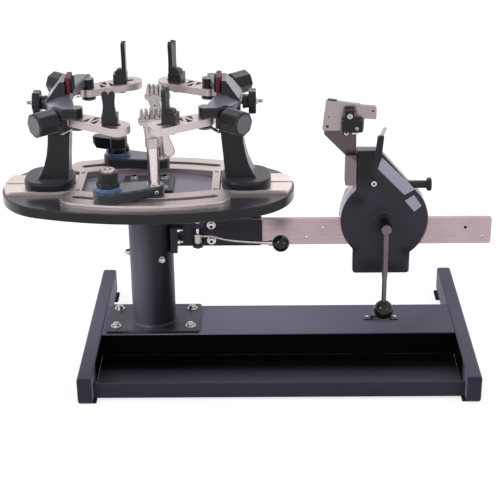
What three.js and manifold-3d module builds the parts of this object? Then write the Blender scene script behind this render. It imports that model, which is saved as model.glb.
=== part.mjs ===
// A table-top racket stringing machine: a sheet-steel base, a column with an oval turntable that holds
// two towers and two fixed clamps, and a rail that carries a crank-driven tension head.
// Millimetres, +Z up, +X along the rail towards the head, +Y away from the operator.
import * as THREE from "three";
import { mergeVertices } from "three/addons/utils/BufferGeometryUtils.js";
import Module from "manifold-3d";

const wasm = await Module();
wasm.setup();

// Clearance between pieces that turn, slide or seat on each other, and the reach of every cut.
const GAP = 0.3;
const OVERRUN = 5;
const WELD = 1e-3;

// Facets of full circles, by how large they are.
const FINE = 24;
const ROUND = 16;
const SMALL = 8;

const stand = {
  footWidth: 24,
  footHeight: 44,
  footLength: 400,
  footRound: 4,
  leftFoot: -98,
  rightFoot: 518,
  padLength: 30,
  padHeight: 4,
  padInset: 6,
  sheet: 3,
  topWidth: 104,
  trayReach: 134,
  lipHeight: 27,
  floorRise: 1,
  bend: 3,
};
stand.top = stand.padHeight + stand.footHeight;

const column = {
  flangeLength: 156,
  flangeWidth: 100,
  flangeThickness: 5,
  flangeRound: 8,
  outer: 36.5,
  wall: 4,
  top: 262,
  weld: 4,
  collarOuter: 39.5,
  collarFrom: 236,
  collarTop: 275,
  cupWall: 1,
  sleeveFrom: 150,
  spindleRadius: 12.5,
  spindleFrom: 140,
  edge: 1.2,
};
column.inner = column.outer - column.wall;

const rail = {
  left: 52,
  right: 563,
  half: 4,
  low: 190,
  high: 236,
  endRound: 4,
  holeRadius: 2.6,
  holeDrop: 17,
  holeRise: 12,
  holesLeft: 206,
  holesApart: 27,
  holesRight: 14,
  endHolesApart: 29,
  cheek: 5,
  cheekLength: 140,
  cheekHigh: 238,
  cheekLow: 191,
  cheekRound: 6,
  plateHalf: 25,
  plateLow: 183,
  plateHigh: 232,
  plateOuter: 45,
  plateInner: 34,
};
rail.holes = [
  [rail.left + rail.holesLeft + rail.holesApart, rail.high - rail.holeDrop],
  [rail.left + rail.holesLeft, rail.low + rail.holeRise],
  [rail.right - rail.holesRight - rail.endHolesApart, rail.high - rail.holeDrop],
  [rail.right - rail.holesRight, rail.low + rail.holeRise],
];

// The rack's teeth follow from its module, and so does the pinion that rolls on them.
const rack = {
  module: 2,
  teethLeft: 13,
  teethRight: 27,
  pinionTeeth: 16,
  depth: 10,
  strip: 16,
  toothShare: 0.36,
  addendumShare: 0.85,
  dedendumShare: 1.25,
  pressureDeg: 20,
};
rack.pitch = Math.PI * rack.module;
rack.pinionRadius = (rack.module * rack.pinionTeeth) / 2;

const brake = {
  x: 79,
  y: -22,
  pinRadius: 3,
  headRadius: 5.5,
  headHeight: 3,
  tail: 4,
  earRadius: 9,
  upperEar: 7,
  lowerEarTop: 201,
  hubRadius: 6.5,
  hubLow: 203,
  hubHigh: 219,
  rodRadius: 3,
  ballRadius: 14,
};

// The bends of the brake's rod, measured from its pin and from the bottom of its hub.
const bends = [
  { out: 0, forward: 0, above: 10 },
  { out: 8, forward: 2, above: 13 },
  { out: 22, forward: 5, above: 14 },
  { out: 34, forward: 8, above: 12 },
  { out: 50, forward: 12, above: 9 },
  { out: 85, forward: 20, above: 9 },
  { out: 136, forward: 30, above: 11 },
];
brake.route = bends.map(({ out, forward, above }) => {
  return [brake.x + out, brake.y - forward, brake.hubLow + above];
});

const head = {
  x: 383,
  z: 247,
  radius: 71,
  neckLeft: 47,
  neckTop: 120,
  neckRight: 11,
  shoulderDeg: 45,
  skirtLeft: 50,
  skirtRight: 43,
  skirtLow: 94,
  corner: 6,
  wall: 3,
  front: -40,
  back: -17,
  edge: 2.5,
  discBack: -4.5,
  neckPlate: 4,
  bridgeHalf: 43,
  bridgeInner: 21,
  bridgeHeight: 13,
  rearPlate: 6,
  rearY: 18,
  rearHigh: 25,
  boss: 17,
  bossRise: 3,
};

const crank = {
  shaftRadius: 6,
  hubRadius: 8.5,
  hubFront: -79,
  hubBack: -64,
  armRadius: 5,
  armY: -72,
  reach: 144,
  ballRadius: 16,
  ballSeat: 10,
};

const lever = {
  x: -13,
  z: 115,
  bossRadius: 7,
  thickness: 4,
  width: 8,
  gripWidth: 11.5,
  gripLow: 4,
  gripHigh: 32,
  gripDepth: 9,
  tip: 46,
  lean: 4,
  tipLean: 9,
  pin: 2.5,
  pinDepth: 6,
};

const tension = {
  y: -28,
  z: 59,
  shaftRadius: 6.5,
  shaftFrom: 36,
  flangeFrom: 66,
  flangeTo: 74,
  flangeRadius: 11,
  edge: 1,
};

// The gripper stands on the head's left side, its places measured from the crank's axis.
const gripper = {
  armLeft: -65,
  armLow: 61,
  armHigh: 113,
  armFront: -38,
  armBack: -18,
  tongueLow: 73,
  tongueHigh: 101,
  tongueReach: 14,
  tongueInset: 5,
  gussetLeft: -99,
  gussetRight: -48,
  gussetHigh: 151,
  plateFront: -28,
  plateBack: -20,
  plateLeft: -102,
  plateRight: -42,
  plateLow: 151,
  plateHigh: 201.5,
  plateLean: 6,
  plateDrop: 8,
  tongueEnd: -17,
  tongueBase: 171,
  tongueTop: 192,
  tongueDrop: 2,
  corner: 3,
  jawLeft: -71,
  jawRight: -39,
  jawLow: 151.3,
  jawStep: 171,
  jawHigh: 188,
  stemLeft: -67,
  stemRight: -52,
  jawThickness: 11,
  jawGap: 1,
  pinRadius: 2.5,
  pinReach: 16,
  upperPinX: -59.5,
  upperPinZ: 179,
  lowerPinX: -48,
  lowerPinZ: 159,
};
gripper.pins = [
  [gripper.upperPinX, gripper.upperPinZ],
  [gripper.lowerPinX, gripper.lowerPinZ],
];

const clip = { x: 386, y: 1.5, width: 16, span: 36, foot: 11, sheet: 2.5, height: 9, round: 2 };

const deck = {
  halfLength: 238,
  halfWidth: 118,
  sideRadius: 545,
  low: 277,
  thickness: 17.5,
  edge: 1.5,
  railInner: 118.3,
  railHalf: 37,
  railHeight: 6.5,
  railEdge: 2,
  groove: 6,
  grooveDepth: 4,
  hubLength: 84,
  hubWidth: 70,
  hubHeight: 6,
  hubRound: 6,
};
deck.endRadius =
  (deck.sideRadius ** 2 - deck.halfLength ** 2 - (deck.sideRadius - deck.halfWidth) ** 2) /
  (2 * (deck.sideRadius - deck.halfLength));
deck.top = deck.low + deck.thickness;
deck.railTop = deck.top + deck.railHeight;

const glide = {
  radius: 400,
  offset: 82,
  half: 26,
  height: 10,
  reach: 110,
  slotHalf: 6,
  channelHalf: 10,
  channelDepth: 5,
  barInner: 104,
  barOuter: 117,
  barHole: 2.5,
};
glide.top = deck.top + glide.height;

const tower = {
  inner: 119.5,
  length: 80.5,
  half: 42,
  lengthRoundShare: 0.397,
  widthRoundShare: 0.7609166667,
  height: 15,
  edge: 2.5,
  key: 5.4,
  keyLength: 60,
  legInset: 7.5,
  legOutset: 22,
  legInsetHigh: 0.5,
  legOuterHigh: 155,
  legBow: 43,
  legBowZ: 26,
  legHalf: 22,
  legHalfHigh: 20,
  legTop: 395,
};
tower.top = deck.railTop + tower.height;
tower.outer = tower.inner + tower.length;
tower.lengthRound = tower.lengthRoundShare * tower.length;
tower.widthRound = tower.widthRoundShare * tower.half;
tower.legInnerLow = tower.inner + tower.legInset;
tower.legOuterLow = tower.outer - tower.legOutset;
tower.legInnerHigh = tower.inner + tower.legInsetHigh;
tower.legBowX = tower.outer - tower.legBow;

// The head casting in plan, half of it: the other half is its mirror image.
const casting = {
  low: 441,
  high: 458,
  edge: 2.5,
  neckInner: 118,
  neckHalf: 25,
  outer: 155,
  shoulder: [139, 69],
  tip: [118, 92],
  wingInner: 96,
  waist: [114, 15],
  fallFrom: 130,
  fallTo: 448,
  crestInner: 123.3,
  crestOuter: 130,
  crestTop: 479,
  crestFoot: 450,
  crestHalf: 33,
  crestHalfTop: 21,
  lug: 6.5,
  lugLow: 424,
  bossRadius: 9.5,
  bossX: 98,
  bossY: 73,
};

const knob = {
  z: 438,
  shaftRadius: 5,
  shaftDepth: 5,
  collarRadius: 12,
  collar: 6,
  radius: 19.5,
  length: 36,
  edge: 2.5,
  flutes: 8,
  flute: 1,
};

const star = {
  z: 439,
  shaftRadius: 5,
  shaftDepth: 25,
  hubRadius: 12,
  hub: 10,
  radius: 20.5,
  disc: 12,
  lobes: 6,
  lobe: 2.5,
  edge: 2,
  screwRadius: 3,
  screw: 11,
};

const pad = { inner: 111, outer: 123, half: 18, height: 26.5, round: 5, edge: 1.5 };

const arm = {
  low: 428,
  high: 440,
  ringRadius: 15.5,
  length: 75,
  tipRadius: 20,
  outDeg: 30,
  wall: 4.5,
  strut: 2.2,
  trussFrom: 18,
  trussTo: 43,
  bays: 3,
  slotHalf: 4.3,
};

const hook = {
  middle: 63,
  travel: 8,
  play: 6,
  stemRadius: 4,
  footRadius: 9,
  foot: 5,
  length: 25,
  width: 23,
  block: 15,
  round: 3,
  paddleWidth: 20,
  paddle: 7,
  paddleOut: 7,
  collar: 8,
  collarInset: 4,
  lobe: 4.6,
  waist: 8,
};

const clamp = {
  along: 55.5,
  studRadius: 4,
  neckRadius: 5.5,
  nutRadius: 9,
  nut: 3.9,
  nutRise: 0.5,
  baseHeight: 17.2,
  knobEnd: 25,
  postEnd: 16,
  reach: 73,
  postRadius: 9.5,
  socketFloor: 3.5,
  edge: 1.5,
  ringRadius: 21.5,
  ring: 3.7,
  knobRadius: 17.5,
  knobHeight: 26,
  capRadius: 14,
  cap: 4,
  flutes: 8,
  flute: 1,
  collarRadius: 11.5,
  collarLow: 385,
  headLow: 398,
  shoulder: 424,
  gum: 432,
  toothTop: 447,
  neckHalf: 10,
  headHalf: 20,
  headDepth: 7.25,
  tipDepth: 4.6,
  slit: 1,
  slitLow: 418,
  teeth: 5,
  toothPitch: 7.3,
  toothBaseShare: 0.76,
  toothTipShare: 0.42,
  lugReach: 25,
  lugLow: 396,
  lugHigh: 408,
  lugHalf: 3,
  leverRadius: 5.5,
  leverTip: 9,
  leverThickness: 5,
  leverReach: 27,
  leverSwing: 6,
  leverPin: 2.5,
  wingRadius: 15,
  wingTip: 9,
  wingReach: 34,
  wingDrop: 6,
  wing: 11,
};

// What differs between the two fixed clamps: the side of the turntable, how the base is turned, and the
// wing that the rear lock knob has.
const clampSides = {
  front: { sign: -1, turnDeg: 16.4, winged: false },
  rear: { sign: 1, turnDeg: -13, winged: true },
};

// How far each hook is turned on its arm's slot.
const hookTurnsDeg = { left_front: 0, right_front: 75, left_rear: 90, right_rear: 70 };

// Where each hook stands along its arm, and how high it reaches.
const hookPlaces = { left_front: 63, right_front: 58, left_rear: 58, right_rear: 61 };
const hookTops = { front: 494, rear: 508 };

const radians = THREE.MathUtils.degToRad;

function paint(color, roughness, metalness = 0) {
  return new THREE.MeshStandardMaterial({ color, roughness, metalness });
}

const finish = {
  black: paint(0x17181a, 0.5),
  steel: paint(0xb9bcc0, 0.35, 0.9),
  aluminium: paint(0xc8cacd, 0.4, 0.85),
  slate: paint(0x2c2c34, 0.45),
  paleGrey: paint(0xb6b8c4, 0.5),
  maroon: paint(0x5a1620, 0.6),
  rubber: paint(0x101112, 0.9),
};

// A closed geometry as a solid. A profile drawn the other way round is turned to face out.
function solidOf(geometry) {
  const bare = new THREE.BufferGeometry();
  const loose = geometry.index ? geometry.toNonIndexed() : geometry;
  bare.setAttribute("position", loose.getAttribute("position"));
  const merged = mergeVertices(bare, WELD);
  const corners = merged.index.array;
  const faces = [];
  for (let i = 0; i < corners.length; i += 3) {
    const [a, b, c] = corners.slice(i, i + 3);
    if (a !== b && b !== c && a !== c) faces.push(a, b, c);
  }
  const vertices = merged.attributes.position.array;
  const made = meshSolid(vertices, faces);
  if (made.volume() > 0) return made;
  const flipped = faces.map((_, i) => faces[i - (i % 3) + ((3 - (i % 3)) % 3)]);
  return meshSolid(vertices, flipped);
}

function meshSolid(vertProperties, faces) {
  const triVerts = new Uint32Array(faces);
  return new wasm.Manifold(new wasm.Mesh({ numProp: 3, vertProperties, triVerts }));
}

function geometryOf(made) {
  const mesh = made.getMesh();
  const geometry = new THREE.BufferGeometry();
  geometry.setAttribute("position", new THREE.BufferAttribute(mesh.vertProperties, 3));
  geometry.setIndex(new THREE.BufferAttribute(mesh.triVerts, 1));
  const flat = geometry.toNonIndexed();
  flat.computeVertexNormals();
  return flat;
}

function join(...pieces) {
  return geometryOf(pieces.map(solidOf).reduce((whole, piece) => whole.add(piece)));
}

function cut(piece, ...tools) {
  return geometryOf(tools.map(solidOf).reduce((left, tool) => left.subtract(tool), solidOf(piece)));
}

function common(first, second) {
  return geometryOf(solidOf(first).intersect(solidOf(second)));
}

function moved(geometry, x, y, z) {
  return geometry.clone().translate(x, y, z);
}

function turnedBy(geometry, degrees) {
  return geometry.clone().rotateZ(radians(degrees));
}

function block(x0, x1, y0, y1, z0, z1) {
  const geometry = new THREE.BoxGeometry(x1 - x0, y1 - y0, z1 - z0);
  return geometry.translate((x0 + x1) / 2, (y0 + y1) / 2, (z0 + z1) / 2);
}

// A closed outline whose corners are rounded by the radius, or left sharp where it is zero.
function outline(points, radius = 0) {
  const corners = points.map(([x, y]) => new THREE.Vector2(x, y));
  const shape = new THREE.Shape();
  corners.forEach((corner, i) => {
    const before = corners[(i + corners.length - 1) % corners.length];
    const after = corners[(i + 1) % corners.length];
    const room = Math.min(corner.distanceTo(before), corner.distanceTo(after)) / 2;
    const reach = Math.min(radius, room);
    const start = corner.clone().add(before.clone().sub(corner).setLength(reach));
    const end = corner.clone().add(after.clone().sub(corner).setLength(reach));
    if (i === 0) shape.moveTo(start.x, start.y);
    else shape.lineTo(start.x, start.y);
    if (radius > 0) shape.quadraticCurveTo(corner.x, corner.y, end.x, end.y);
  });
  shape.closePath();
  return shape;
}

function rectangle(x0, x1, y0, y1, radius = 0) {
  const corners = [
    [x0, y0],
    [x1, y0],
    [x1, y1],
    [x0, y1],
  ];
  return outline(corners, radius);
}

// The two circles of a teardrop and the straight sides that touch them both.
function teardrop(firstRadius, secondRadius, distance) {
  const lean = Math.acos((firstRadius - secondRadius) / distance);
  const shape = new THREE.Shape();
  shape.absarc(0, 0, firstRadius, lean, 2 * Math.PI - lean);
  shape.absarc(distance, 0, secondRadius, -lean, lean);
  shape.closePath();
  return shape;
}

// An outline with evenly spaced lobes, for knobs and grips.
function lobed(radius, depth, lobes, steps) {
  const points = Array.from({ length: lobes * steps }, (_, i) => {
    const angle = (2 * Math.PI * i) / (lobes * steps);
    const reach = radius - (depth * (1 - Math.cos(lobes * angle))) / 2;
    return [reach * Math.cos(angle), reach * Math.sin(angle)];
  });
  return outline(points);
}

function alongZ(shape, z0, z1, edge = 0, curveSegments = 4) {
  const bevel = { bevelThickness: edge, bevelSize: edge, bevelOffset: -edge, bevelSegments: 1 };
  const options = { depth: z1 - z0 - 2 * edge, bevelEnabled: edge > 0, curveSegments, ...bevel };
  return new THREE.ExtrudeGeometry(shape, options).translate(0, 0, z0 + edge);
}

// The outline is drawn in X and Z.
function alongY(shape, y0, y1, edge = 0, curveSegments = 4) {
  return alongZ(shape, -y1, -y0, edge, curveSegments).rotateX(Math.PI / 2);
}

// The outline is drawn in Y and Z.
function alongX(shape, x0, x1, edge = 0, curveSegments = 4) {
  const axes = [new THREE.Vector3(0, 1, 0), new THREE.Vector3(0, 0, 1), new THREE.Vector3(1, 0, 0)];
  const turn = new THREE.Matrix4().makeBasis(...axes);
  return alongZ(shape, x0, x1, edge, curveSegments).applyMatrix4(turn);
}

// A profile of [radius, height] pairs, turned about the named axis.
function turned(axis, profile, sides = ROUND) {
  const points = profile.map(([r, h]) => new THREE.Vector2(r, h));
  const geometry = new THREE.LatheGeometry(points, sides);
  if (axis === "z") geometry.rotateX(Math.PI / 2);
  if (axis === "x") geometry.rotateZ(-Math.PI / 2);
  return geometry;
}

function rod(axis, radius, from, to, sides = ROUND) {
  const profile = [
    [0, from],
    [radius, from],
    [radius, to],
    [0, to],
  ];
  return turned(axis, profile, sides);
}

// A tool for a hole that clears a rod of the radius, whichever way their facets are turned.
function bore(axis, radius, from, to, sides = ROUND) {
  return rod(axis, (radius + GAP) / Math.cos(Math.PI / sides), from, to, sides);
}

function tube(axis, outer, inner, from, to, sides = ROUND) {
  const profile = [
    [inner, from],
    [outer, from],
    [outer, to],
    [inner, to],
    [inner, from],
  ];
  return turned(axis, profile, sides);
}

// A rod with its ends chamfered by the edge.
function peg(axis, radius, from, to, edge, sides = ROUND) {
  const profile = [
    [0, from],
    [radius - edge, from],
    [radius, from + edge],
    [radius, to - edge],
    [radius - edge, to],
    [0, to],
  ];
  return turned(axis, profile, sides);
}

function swept(radius, route, steps, sides) {
  const section = new THREE.Shape();
  section.absarc(0, 0, radius, 0, 2 * Math.PI);
  const extrudePath = new THREE.CatmullRomCurve3(route.map((point) => new THREE.Vector3(...point)));
  const options = { steps, extrudePath, curveSegments: sides, bevelEnabled: false };
  return new THREE.ExtrudeGeometry(section, options);
}

function part(group, name, geometry, material) {
  const mesh = new THREE.Mesh(geometry, material);
  mesh.name = name;
  group.add(mesh);
}

// The base

function baseChannel() {
  const { sheet, top, bend, trayReach, lipHeight } = stand;
  const half = stand.topWidth / 2;
  const low = stand.padHeight + stand.floorRise;
  const front = -half - trayReach;
  const section = [
    [half, low],
    [half, top],
    [-half, top],
    [-half, low + sheet],
    [front + sheet, low + sheet],
    [front + sheet, low + lipHeight],
    [front, low + lipHeight],
    [front, low],
    [sheet - half, low],
    [sheet - half, top - sheet],
    [half - sheet, top - sheet],
    [half - sheet, low],
  ];
  const ends = stand.footWidth / 2;
  const folded = outline(section, bend / 2);
  return alongX(folded, stand.leftFoot + ends, stand.rightFoot - ends, 0, 2);
}

function footBar(x) {
  const half = stand.footWidth / 2;
  const section = rectangle(x - half, x + half, stand.padHeight, stand.top, stand.footRound);
  return alongY(section, -stand.footLength / 2, stand.footLength / 2, stand.sheet / 2, 3);
}

function footPad(x, side) {
  const half = stand.footWidth / 2;
  const near = stand.footLength / 2 - stand.padInset;
  const ends = [side * near, side * (near - stand.padLength)].sort((a, b) => a - b);
  const plan = rectangle(x - half, x + half, ends[0], ends[1], stand.padHeight);
  return alongZ(plan, 0, stand.padHeight, 0, 3);
}

function toolClip() {
  const { x, span, foot, sheet, height, width, y, round } = clip;
  const low = stand.top;
  const half = span / 2;
  const section = [
    [x - half - foot, low],
    [x - half + sheet, low],
    [x - half + sheet, low + height - sheet],
    [x + half - sheet, low + height - sheet],
    [x + half - sheet, low],
    [x + half + foot, low],
    [x + half + foot, low + sheet],
    [x + half, low + sheet],
    [x + half, low + height],
    [x - half, low + height],
    [x - half, low + sheet],
    [x - half - foot, low + sheet],
  ];
  return alongY(outline(section, round / 2), y - width / 2, y + width / 2, 0, 2);
}

// The column

function columnPost() {
  const { outer, inner, collarOuter, collarFrom, collarTop, weld, edge } = column;
  const seat = stand.top + column.flangeThickness;
  const halfLength = column.flangeLength / 2;
  const halfWidth = column.flangeWidth / 2;
  const plan = rectangle(-halfLength, halfLength, -halfWidth, halfWidth, column.flangeRound);
  const flange = alongZ(plan, stand.top, seat, edge, 4);
  const cup = outer - column.cupWall;
  const wall = [
    [inner, seat - edge],
    [outer + weld, seat - edge],
    [outer + weld / 3, seat + weld / 3],
    [outer, seat + weld],
    [outer, collarFrom],
    [collarOuter, collarFrom],
    [collarOuter, collarTop - edge],
    [collarOuter - edge, collarTop],
    [cup, collarTop],
    [cup, column.top],
    [inner, column.top],
    [inner, seat - edge],
  ];
  const bored = cut(flange, rod("z", inner, stand.top - OVERRUN, seat + OVERRUN, FINE));
  return join(bored, turned("z", wall, FINE));
}

function bearingSleeve() {
  const hole = (column.spindleRadius + GAP) / Math.cos(Math.PI / FINE);
  return tube("z", column.inner - GAP, hole, column.sleeveFrom, column.top, FINE);
}

function spindle() {
  const { spindleRadius, spindleFrom, inner, edge } = column;
  const disc = column.top + GAP;
  const profile = [
    [0, spindleFrom],
    [spindleRadius - edge, spindleFrom],
    [spindleRadius, spindleFrom + edge],
    [spindleRadius, disc],
    [inner - GAP, disc],
    [inner - GAP, deck.low],
    [0, deck.low],
  ];
  return turned("z", profile, FINE);
}

// The rail and its bracket

function bracketEar(z0, z1) {
  const { x, y, earRadius } = brake;
  const web = block(x - earRadius, x + earRadius, y, -rail.half - GAP - rail.cheek / 2, z0, z1);
  return join(web, moved(rod("z", earRadius, z0, z1), x, y, 0));
}

function railBracket() {
  const { cheek, cheekLength, cheekLow, cheekHigh, cheekRound, half } = rail;
  const { plateOuter, plateInner, plateHalf, plateLow, plateHigh } = rail;
  const far = plateOuter + cheekLength;
  const side = rectangle(plateOuter - cheek, far, cheekLow, cheekHigh, cheekRound);
  const inner = half + GAP;
  const cheeks = [-1, 1].map((sign) => {
    const faces = [sign * inner, sign * (inner + cheek)].sort((a, b) => a - b);
    return alongY(side, faces[0], faces[1], 0, 4);
  });
  const tongue = block(plateOuter - cheek, rail.left - GAP, -inner, inner, cheekLow, plateHigh);
  const face = rectangle(-plateHalf, plateHalf, plateLow, plateHigh, cheekRound);
  const plate = alongX(face, plateInner, plateOuter, 0, 4);
  const upper = bracketEar(cheekHigh - brake.upperEar, cheekHigh);
  const lower = bracketEar(cheekLow + cheek, brake.lowerEarTop);
  const pinHole = bore("z", brake.pinRadius, plateLow, cheekHigh + OVERRUN, SMALL);
  const collar = column.collarOuter + GAP;
  return cut(
    join(plate, tongue, ...cheeks, upper, lower),
    rod("z", column.outer + GAP, stand.top, cheekHigh, FINE),
    rod("z", collar, column.collarFrom - GAP, column.collarTop, FINE),
    moved(pinHole, brake.x, brake.y, 0),
  );
}

function rackTeeth() {
  const { pitch, module, teethLeft, teethRight, toothShare, strip } = rack;
  const lean = Math.tan(radians(rack.pressureDeg));
  const high = module * rack.addendumShare;
  const deep = module * rack.dedendumShare;
  const line = head.z - rack.pinionRadius;
  const left = head.x - teethLeft * pitch;
  const right = head.x + teethRight * pitch;
  const points = [
    [right, line - strip],
    [right, line - deep],
  ];
  for (let i = teethLeft + teethRight - 1; i >= 0; i -= 1) {
    const middle = left + (i + 0.5) * pitch;
    const half = (toothShare * pitch) / 2;
    points.push([middle + half + deep * lean, line - deep]);
    points.push([middle + half - high * lean, line + high]);
    points.push([middle - half + high * lean, line + high]);
    points.push([middle - half - deep * lean, line - deep]);
  }
  points.push([left, line - deep], [left, line - strip]);
  return alongY(outline(points), rail.half - GAP, rail.half + rack.depth);
}

function tensionRail() {
  const { left, right, low, high, half, endRound, holeRadius } = rail;
  const bar = alongY(rectangle(left, right, low, high, endRound), -half, half, 0, 4);
  const hole = rod("y", holeRadius, -half - OVERRUN, half + OVERRUN, SMALL);
  return cut(join(bar, rackTeeth()), ...rail.holes.map(([x, z]) => moved(hole, x, 0, z)));
}

// The brake lever

function brakePin() {
  const { pinRadius, headRadius, headHeight, tail } = brake;
  const low = rail.cheekLow + rail.cheek - tail;
  const shank = rod("z", pinRadius, low, rail.cheekHigh + headHeight / 2, SMALL);
  const cap = rod("z", headRadius, rail.cheekHigh, rail.cheekHigh + headHeight, SMALL);
  return moved(join(shank, cap), brake.x, brake.y, 0);
}

function brakeLever() {
  const { x, y, hubRadius, hubLow, hubHigh, pinRadius, rodRadius, route } = brake;
  const hub = moved(rod("z", hubRadius, hubLow, hubHigh), x, y, 0);
  const pinHole = moved(bore("z", pinRadius, hubLow - OVERRUN, hubHigh + OVERRUN, SMALL), x, y, 0);
  return cut(join(hub, swept(rodRadius, route, 16, 4)), pinHole);
}

function brakeBall() {
  const { route, rodRadius, ballRadius } = brake;
  const [x, y, z] = route[route.length - 1];
  const ball = new THREE.SphereGeometry(ballRadius, ROUND, SMALL).translate(x, y, z);
  return cut(ball, swept(rodRadius + GAP, brakeBore(), 1, 4));
}

// The straight hole that the rod's end stands in.
function brakeBore() {
  const { route, ballRadius } = brake;
  const end = new THREE.Vector3(...route[route.length - 1]);
  const before = new THREE.Vector3(...route[route.length - 2]);
  const away = before.sub(end).setLength(2 * ballRadius);
  const deep = end.clone().add(away.clone().multiplyScalar(-GAP / (2 * ballRadius)));
  return [deep.toArray(), end.clone().add(away).toArray()];
}

// The tension head, drawn from the crank's axis

function headOutline(inset) {
  const reach = head.radius - inset;
  const left = head.neckLeft - inset;
  const skirtLeft = head.skirtLeft - inset;
  const skirtRight = head.skirtRight - inset;
  const shoulder = radians(head.shoulderDeg);
  const low = -head.skirtLow + inset;
  const corner = head.corner;
  const shape = new THREE.Shape();
  shape.moveTo(skirtRight, low + corner);
  shape.absarc(0, 0, reach, -Math.acos(skirtRight / reach), shoulder);
  shape.lineTo(-head.neckRight - inset / 2, head.neckTop - inset);
  shape.lineTo(-left, head.neckTop - inset);
  shape.absarc(0, 0, reach, Math.PI - Math.acos(left / reach), Math.PI + Math.acos(skirtLeft / reach));
  shape.lineTo(-skirtLeft, low + corner);
  shape.quadraticCurveTo(-skirtLeft, low, corner - skirtLeft, low);
  shape.lineTo(skirtRight - corner, low);
  shape.quadraticCurveTo(skirtRight, low, skirtRight, low + corner);
  return shape;
}

function headCover() {
  const { front, back, wall, edge, boss, bossRise } = head;
  const shell = alongY(headOutline(0), front, back, edge, 6);
  const room = alongY(headOutline(wall), front + wall, back + OVERRUN, 0, 6);
  const ring = rod("y", boss, front - bossRise, front + wall, ROUND);
  const shaftHole = bore("y", crank.shaftRadius, front - OVERRUN, back, SMALL);
  const { y, z, shaftRadius, shaftFrom, flangeTo } = tension;
  const socket = moved(bore("x", shaftRadius, shaftFrom, flangeTo), 0, y, z);
  const { tongueLow, tongueHigh, tongueInset, armFront, armBack } = gripper;
  const window = block(
    -head.neckLeft - OVERRUN,
    -head.neckLeft + 2 * wall,
    armFront + tongueInset - GAP,
    armBack - tongueInset + GAP,
    tongueLow - GAP,
    tongueHigh + GAP,
  );
  const leverHole = moved(bore("y", lever.pin, front - OVERRUN, back, SMALL), lever.x, 0, lever.z);
  return cut(join(cut(shell, room), ring), shaftHole, socket, window, leverHole);
}

function headCarriage() {
  const { radius, back, discBack, neckPlate, bridgeHalf, bridgeInner, bridgeHeight } = head;
  const { rearPlate, rearY, rearHigh, wall } = head;
  const face = back + GAP;
  const disc = rod("y", radius, face, discBack, FINE);
  const plate = alongY(headOutline(wall / 2), face, face + neckPlate, 0, 6);
  const high = rail.high + GAP - head.z;
  const low = rail.low - GAP - head.z;
  const overlap = discBack - neckPlate;
  const overs = [-1, 1].map((side) => {
    const ends = [side * bridgeInner, side * bridgeHalf].sort((a, b) => a - b);
    return block(ends[0], ends[1], overlap, rearY + rearPlate, high, high + bridgeHeight);
  });
  const under = block(-bridgeHalf, bridgeHalf, overlap, rearY + rearPlate, low - bridgeHeight, low);
  const rear = rectangle(-bridgeHalf, bridgeHalf, low - bridgeHeight, rearHigh, head.corner);
  const backPlate = alongY(rear, rearY, rearY + rearPlate, 0, 4);
  const shaftHole = bore("y", crank.shaftRadius, back - OVERRUN, rearY + rearPlate + OVERRUN, SMALL);
  return cut(join(disc, plate, ...overs, under, backPlate), shaftHole);
}

function pinion() {
  const { module, pinionTeeth, pinionRadius, toothShare, pitch } = rack;
  const tip = pinionRadius + module * rack.addendumShare;
  const root = pinionRadius - module * rack.dedendumShare;
  const lean = Math.tan(radians(rack.pressureDeg));
  const half = (toothShare * pitch) / 2;
  const points = [];
  for (let i = 0; i < pinionTeeth; i += 1) {
    const middle = (2 * Math.PI * i) / pinionTeeth - Math.PI / 2;
    const atRoot = (half + (pinionRadius - root) * lean) / root;
    const atTip = (half - (tip - pinionRadius) * lean) / tip;
    points.push([root, middle - atRoot], [tip, middle - atTip]);
    points.push([tip, middle + atTip], [root, middle + atRoot]);
  }
  const teeth = points.map(([r, angle]) => [r * Math.cos(angle), r * Math.sin(angle)]);
  return alongY(outline(teeth), rail.half + 2 * GAP, rail.half + rack.depth);
}

function crankArm() {
  const { shaftRadius, hubRadius, hubFront, hubBack, armRadius, armY, reach, ballSeat } = crank;
  const shaft = rod("y", shaftRadius, (hubFront + hubBack) / 2, head.rearY + head.rearPlate, SMALL);
  const hub = peg("y", hubRadius, hubFront, hubBack, column.edge);
  const arm = moved(rod("z", armRadius, ballSeat - reach, 0, SMALL), 0, armY, 0);
  return join(shaft, hub, arm, pinion());
}

function crankBall() {
  const { armRadius, armY, reach, ballRadius, ballSeat } = crank;
  const ball = new THREE.SphereGeometry(ballRadius, ROUND, SMALL).rotateX(Math.PI / 2);
  const armHole = bore("z", armRadius, ballSeat - GAP, ballRadius + OVERRUN, SMALL);
  return moved(cut(ball, armHole), 0, armY, -reach);
}

function lockLever() {
  const { x, z, bossRadius, thickness, width, gripWidth, gripLow, gripHigh, gripDepth } = lever;
  const back = head.front - GAP;
  const boss = moved(rod("y", bossRadius, back - thickness, back, SMALL), x, 0, z);
  const pin = moved(rod("y", lever.pin, back - thickness, back + lever.pinDepth, SMALL), x, 0, z);
  const half = width / 2;
  const blade = [
    [x - half, z],
    [x + half, z],
    [x + half + lever.lean, z + gripHigh],
    [x + lever.tipLean + half, z + lever.tip],
    [x + lever.tipLean - half, z + lever.tip],
    [x - half + lever.lean, z + gripHigh],
  ];
  const plate = alongY(outline(blade), back - thickness, back);
  const shift = lever.lean / 2;
  const left = x + shift - gripWidth / 2;
  const grip = rectangle(left, left + gripWidth, z + gripLow, z + gripHigh, width / 2);
  const middle = back - thickness / 2;
  const sleeve = alongY(grip, middle - gripDepth / 2, middle + gripDepth / 2, column.edge, 4);
  return join(boss, pin, plate, sleeve);
}

function tensionKnob() {
  const { y, z, shaftRadius, shaftFrom, flangeFrom, flangeTo, flangeRadius, edge } = tension;
  const shaft = rod("x", shaftRadius, shaftFrom, flangeFrom + edge, ROUND);
  const flange = peg("x", flangeRadius, flangeFrom, flangeTo, edge);
  return moved(join(shaft, flange), 0, y, z);
}

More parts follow.
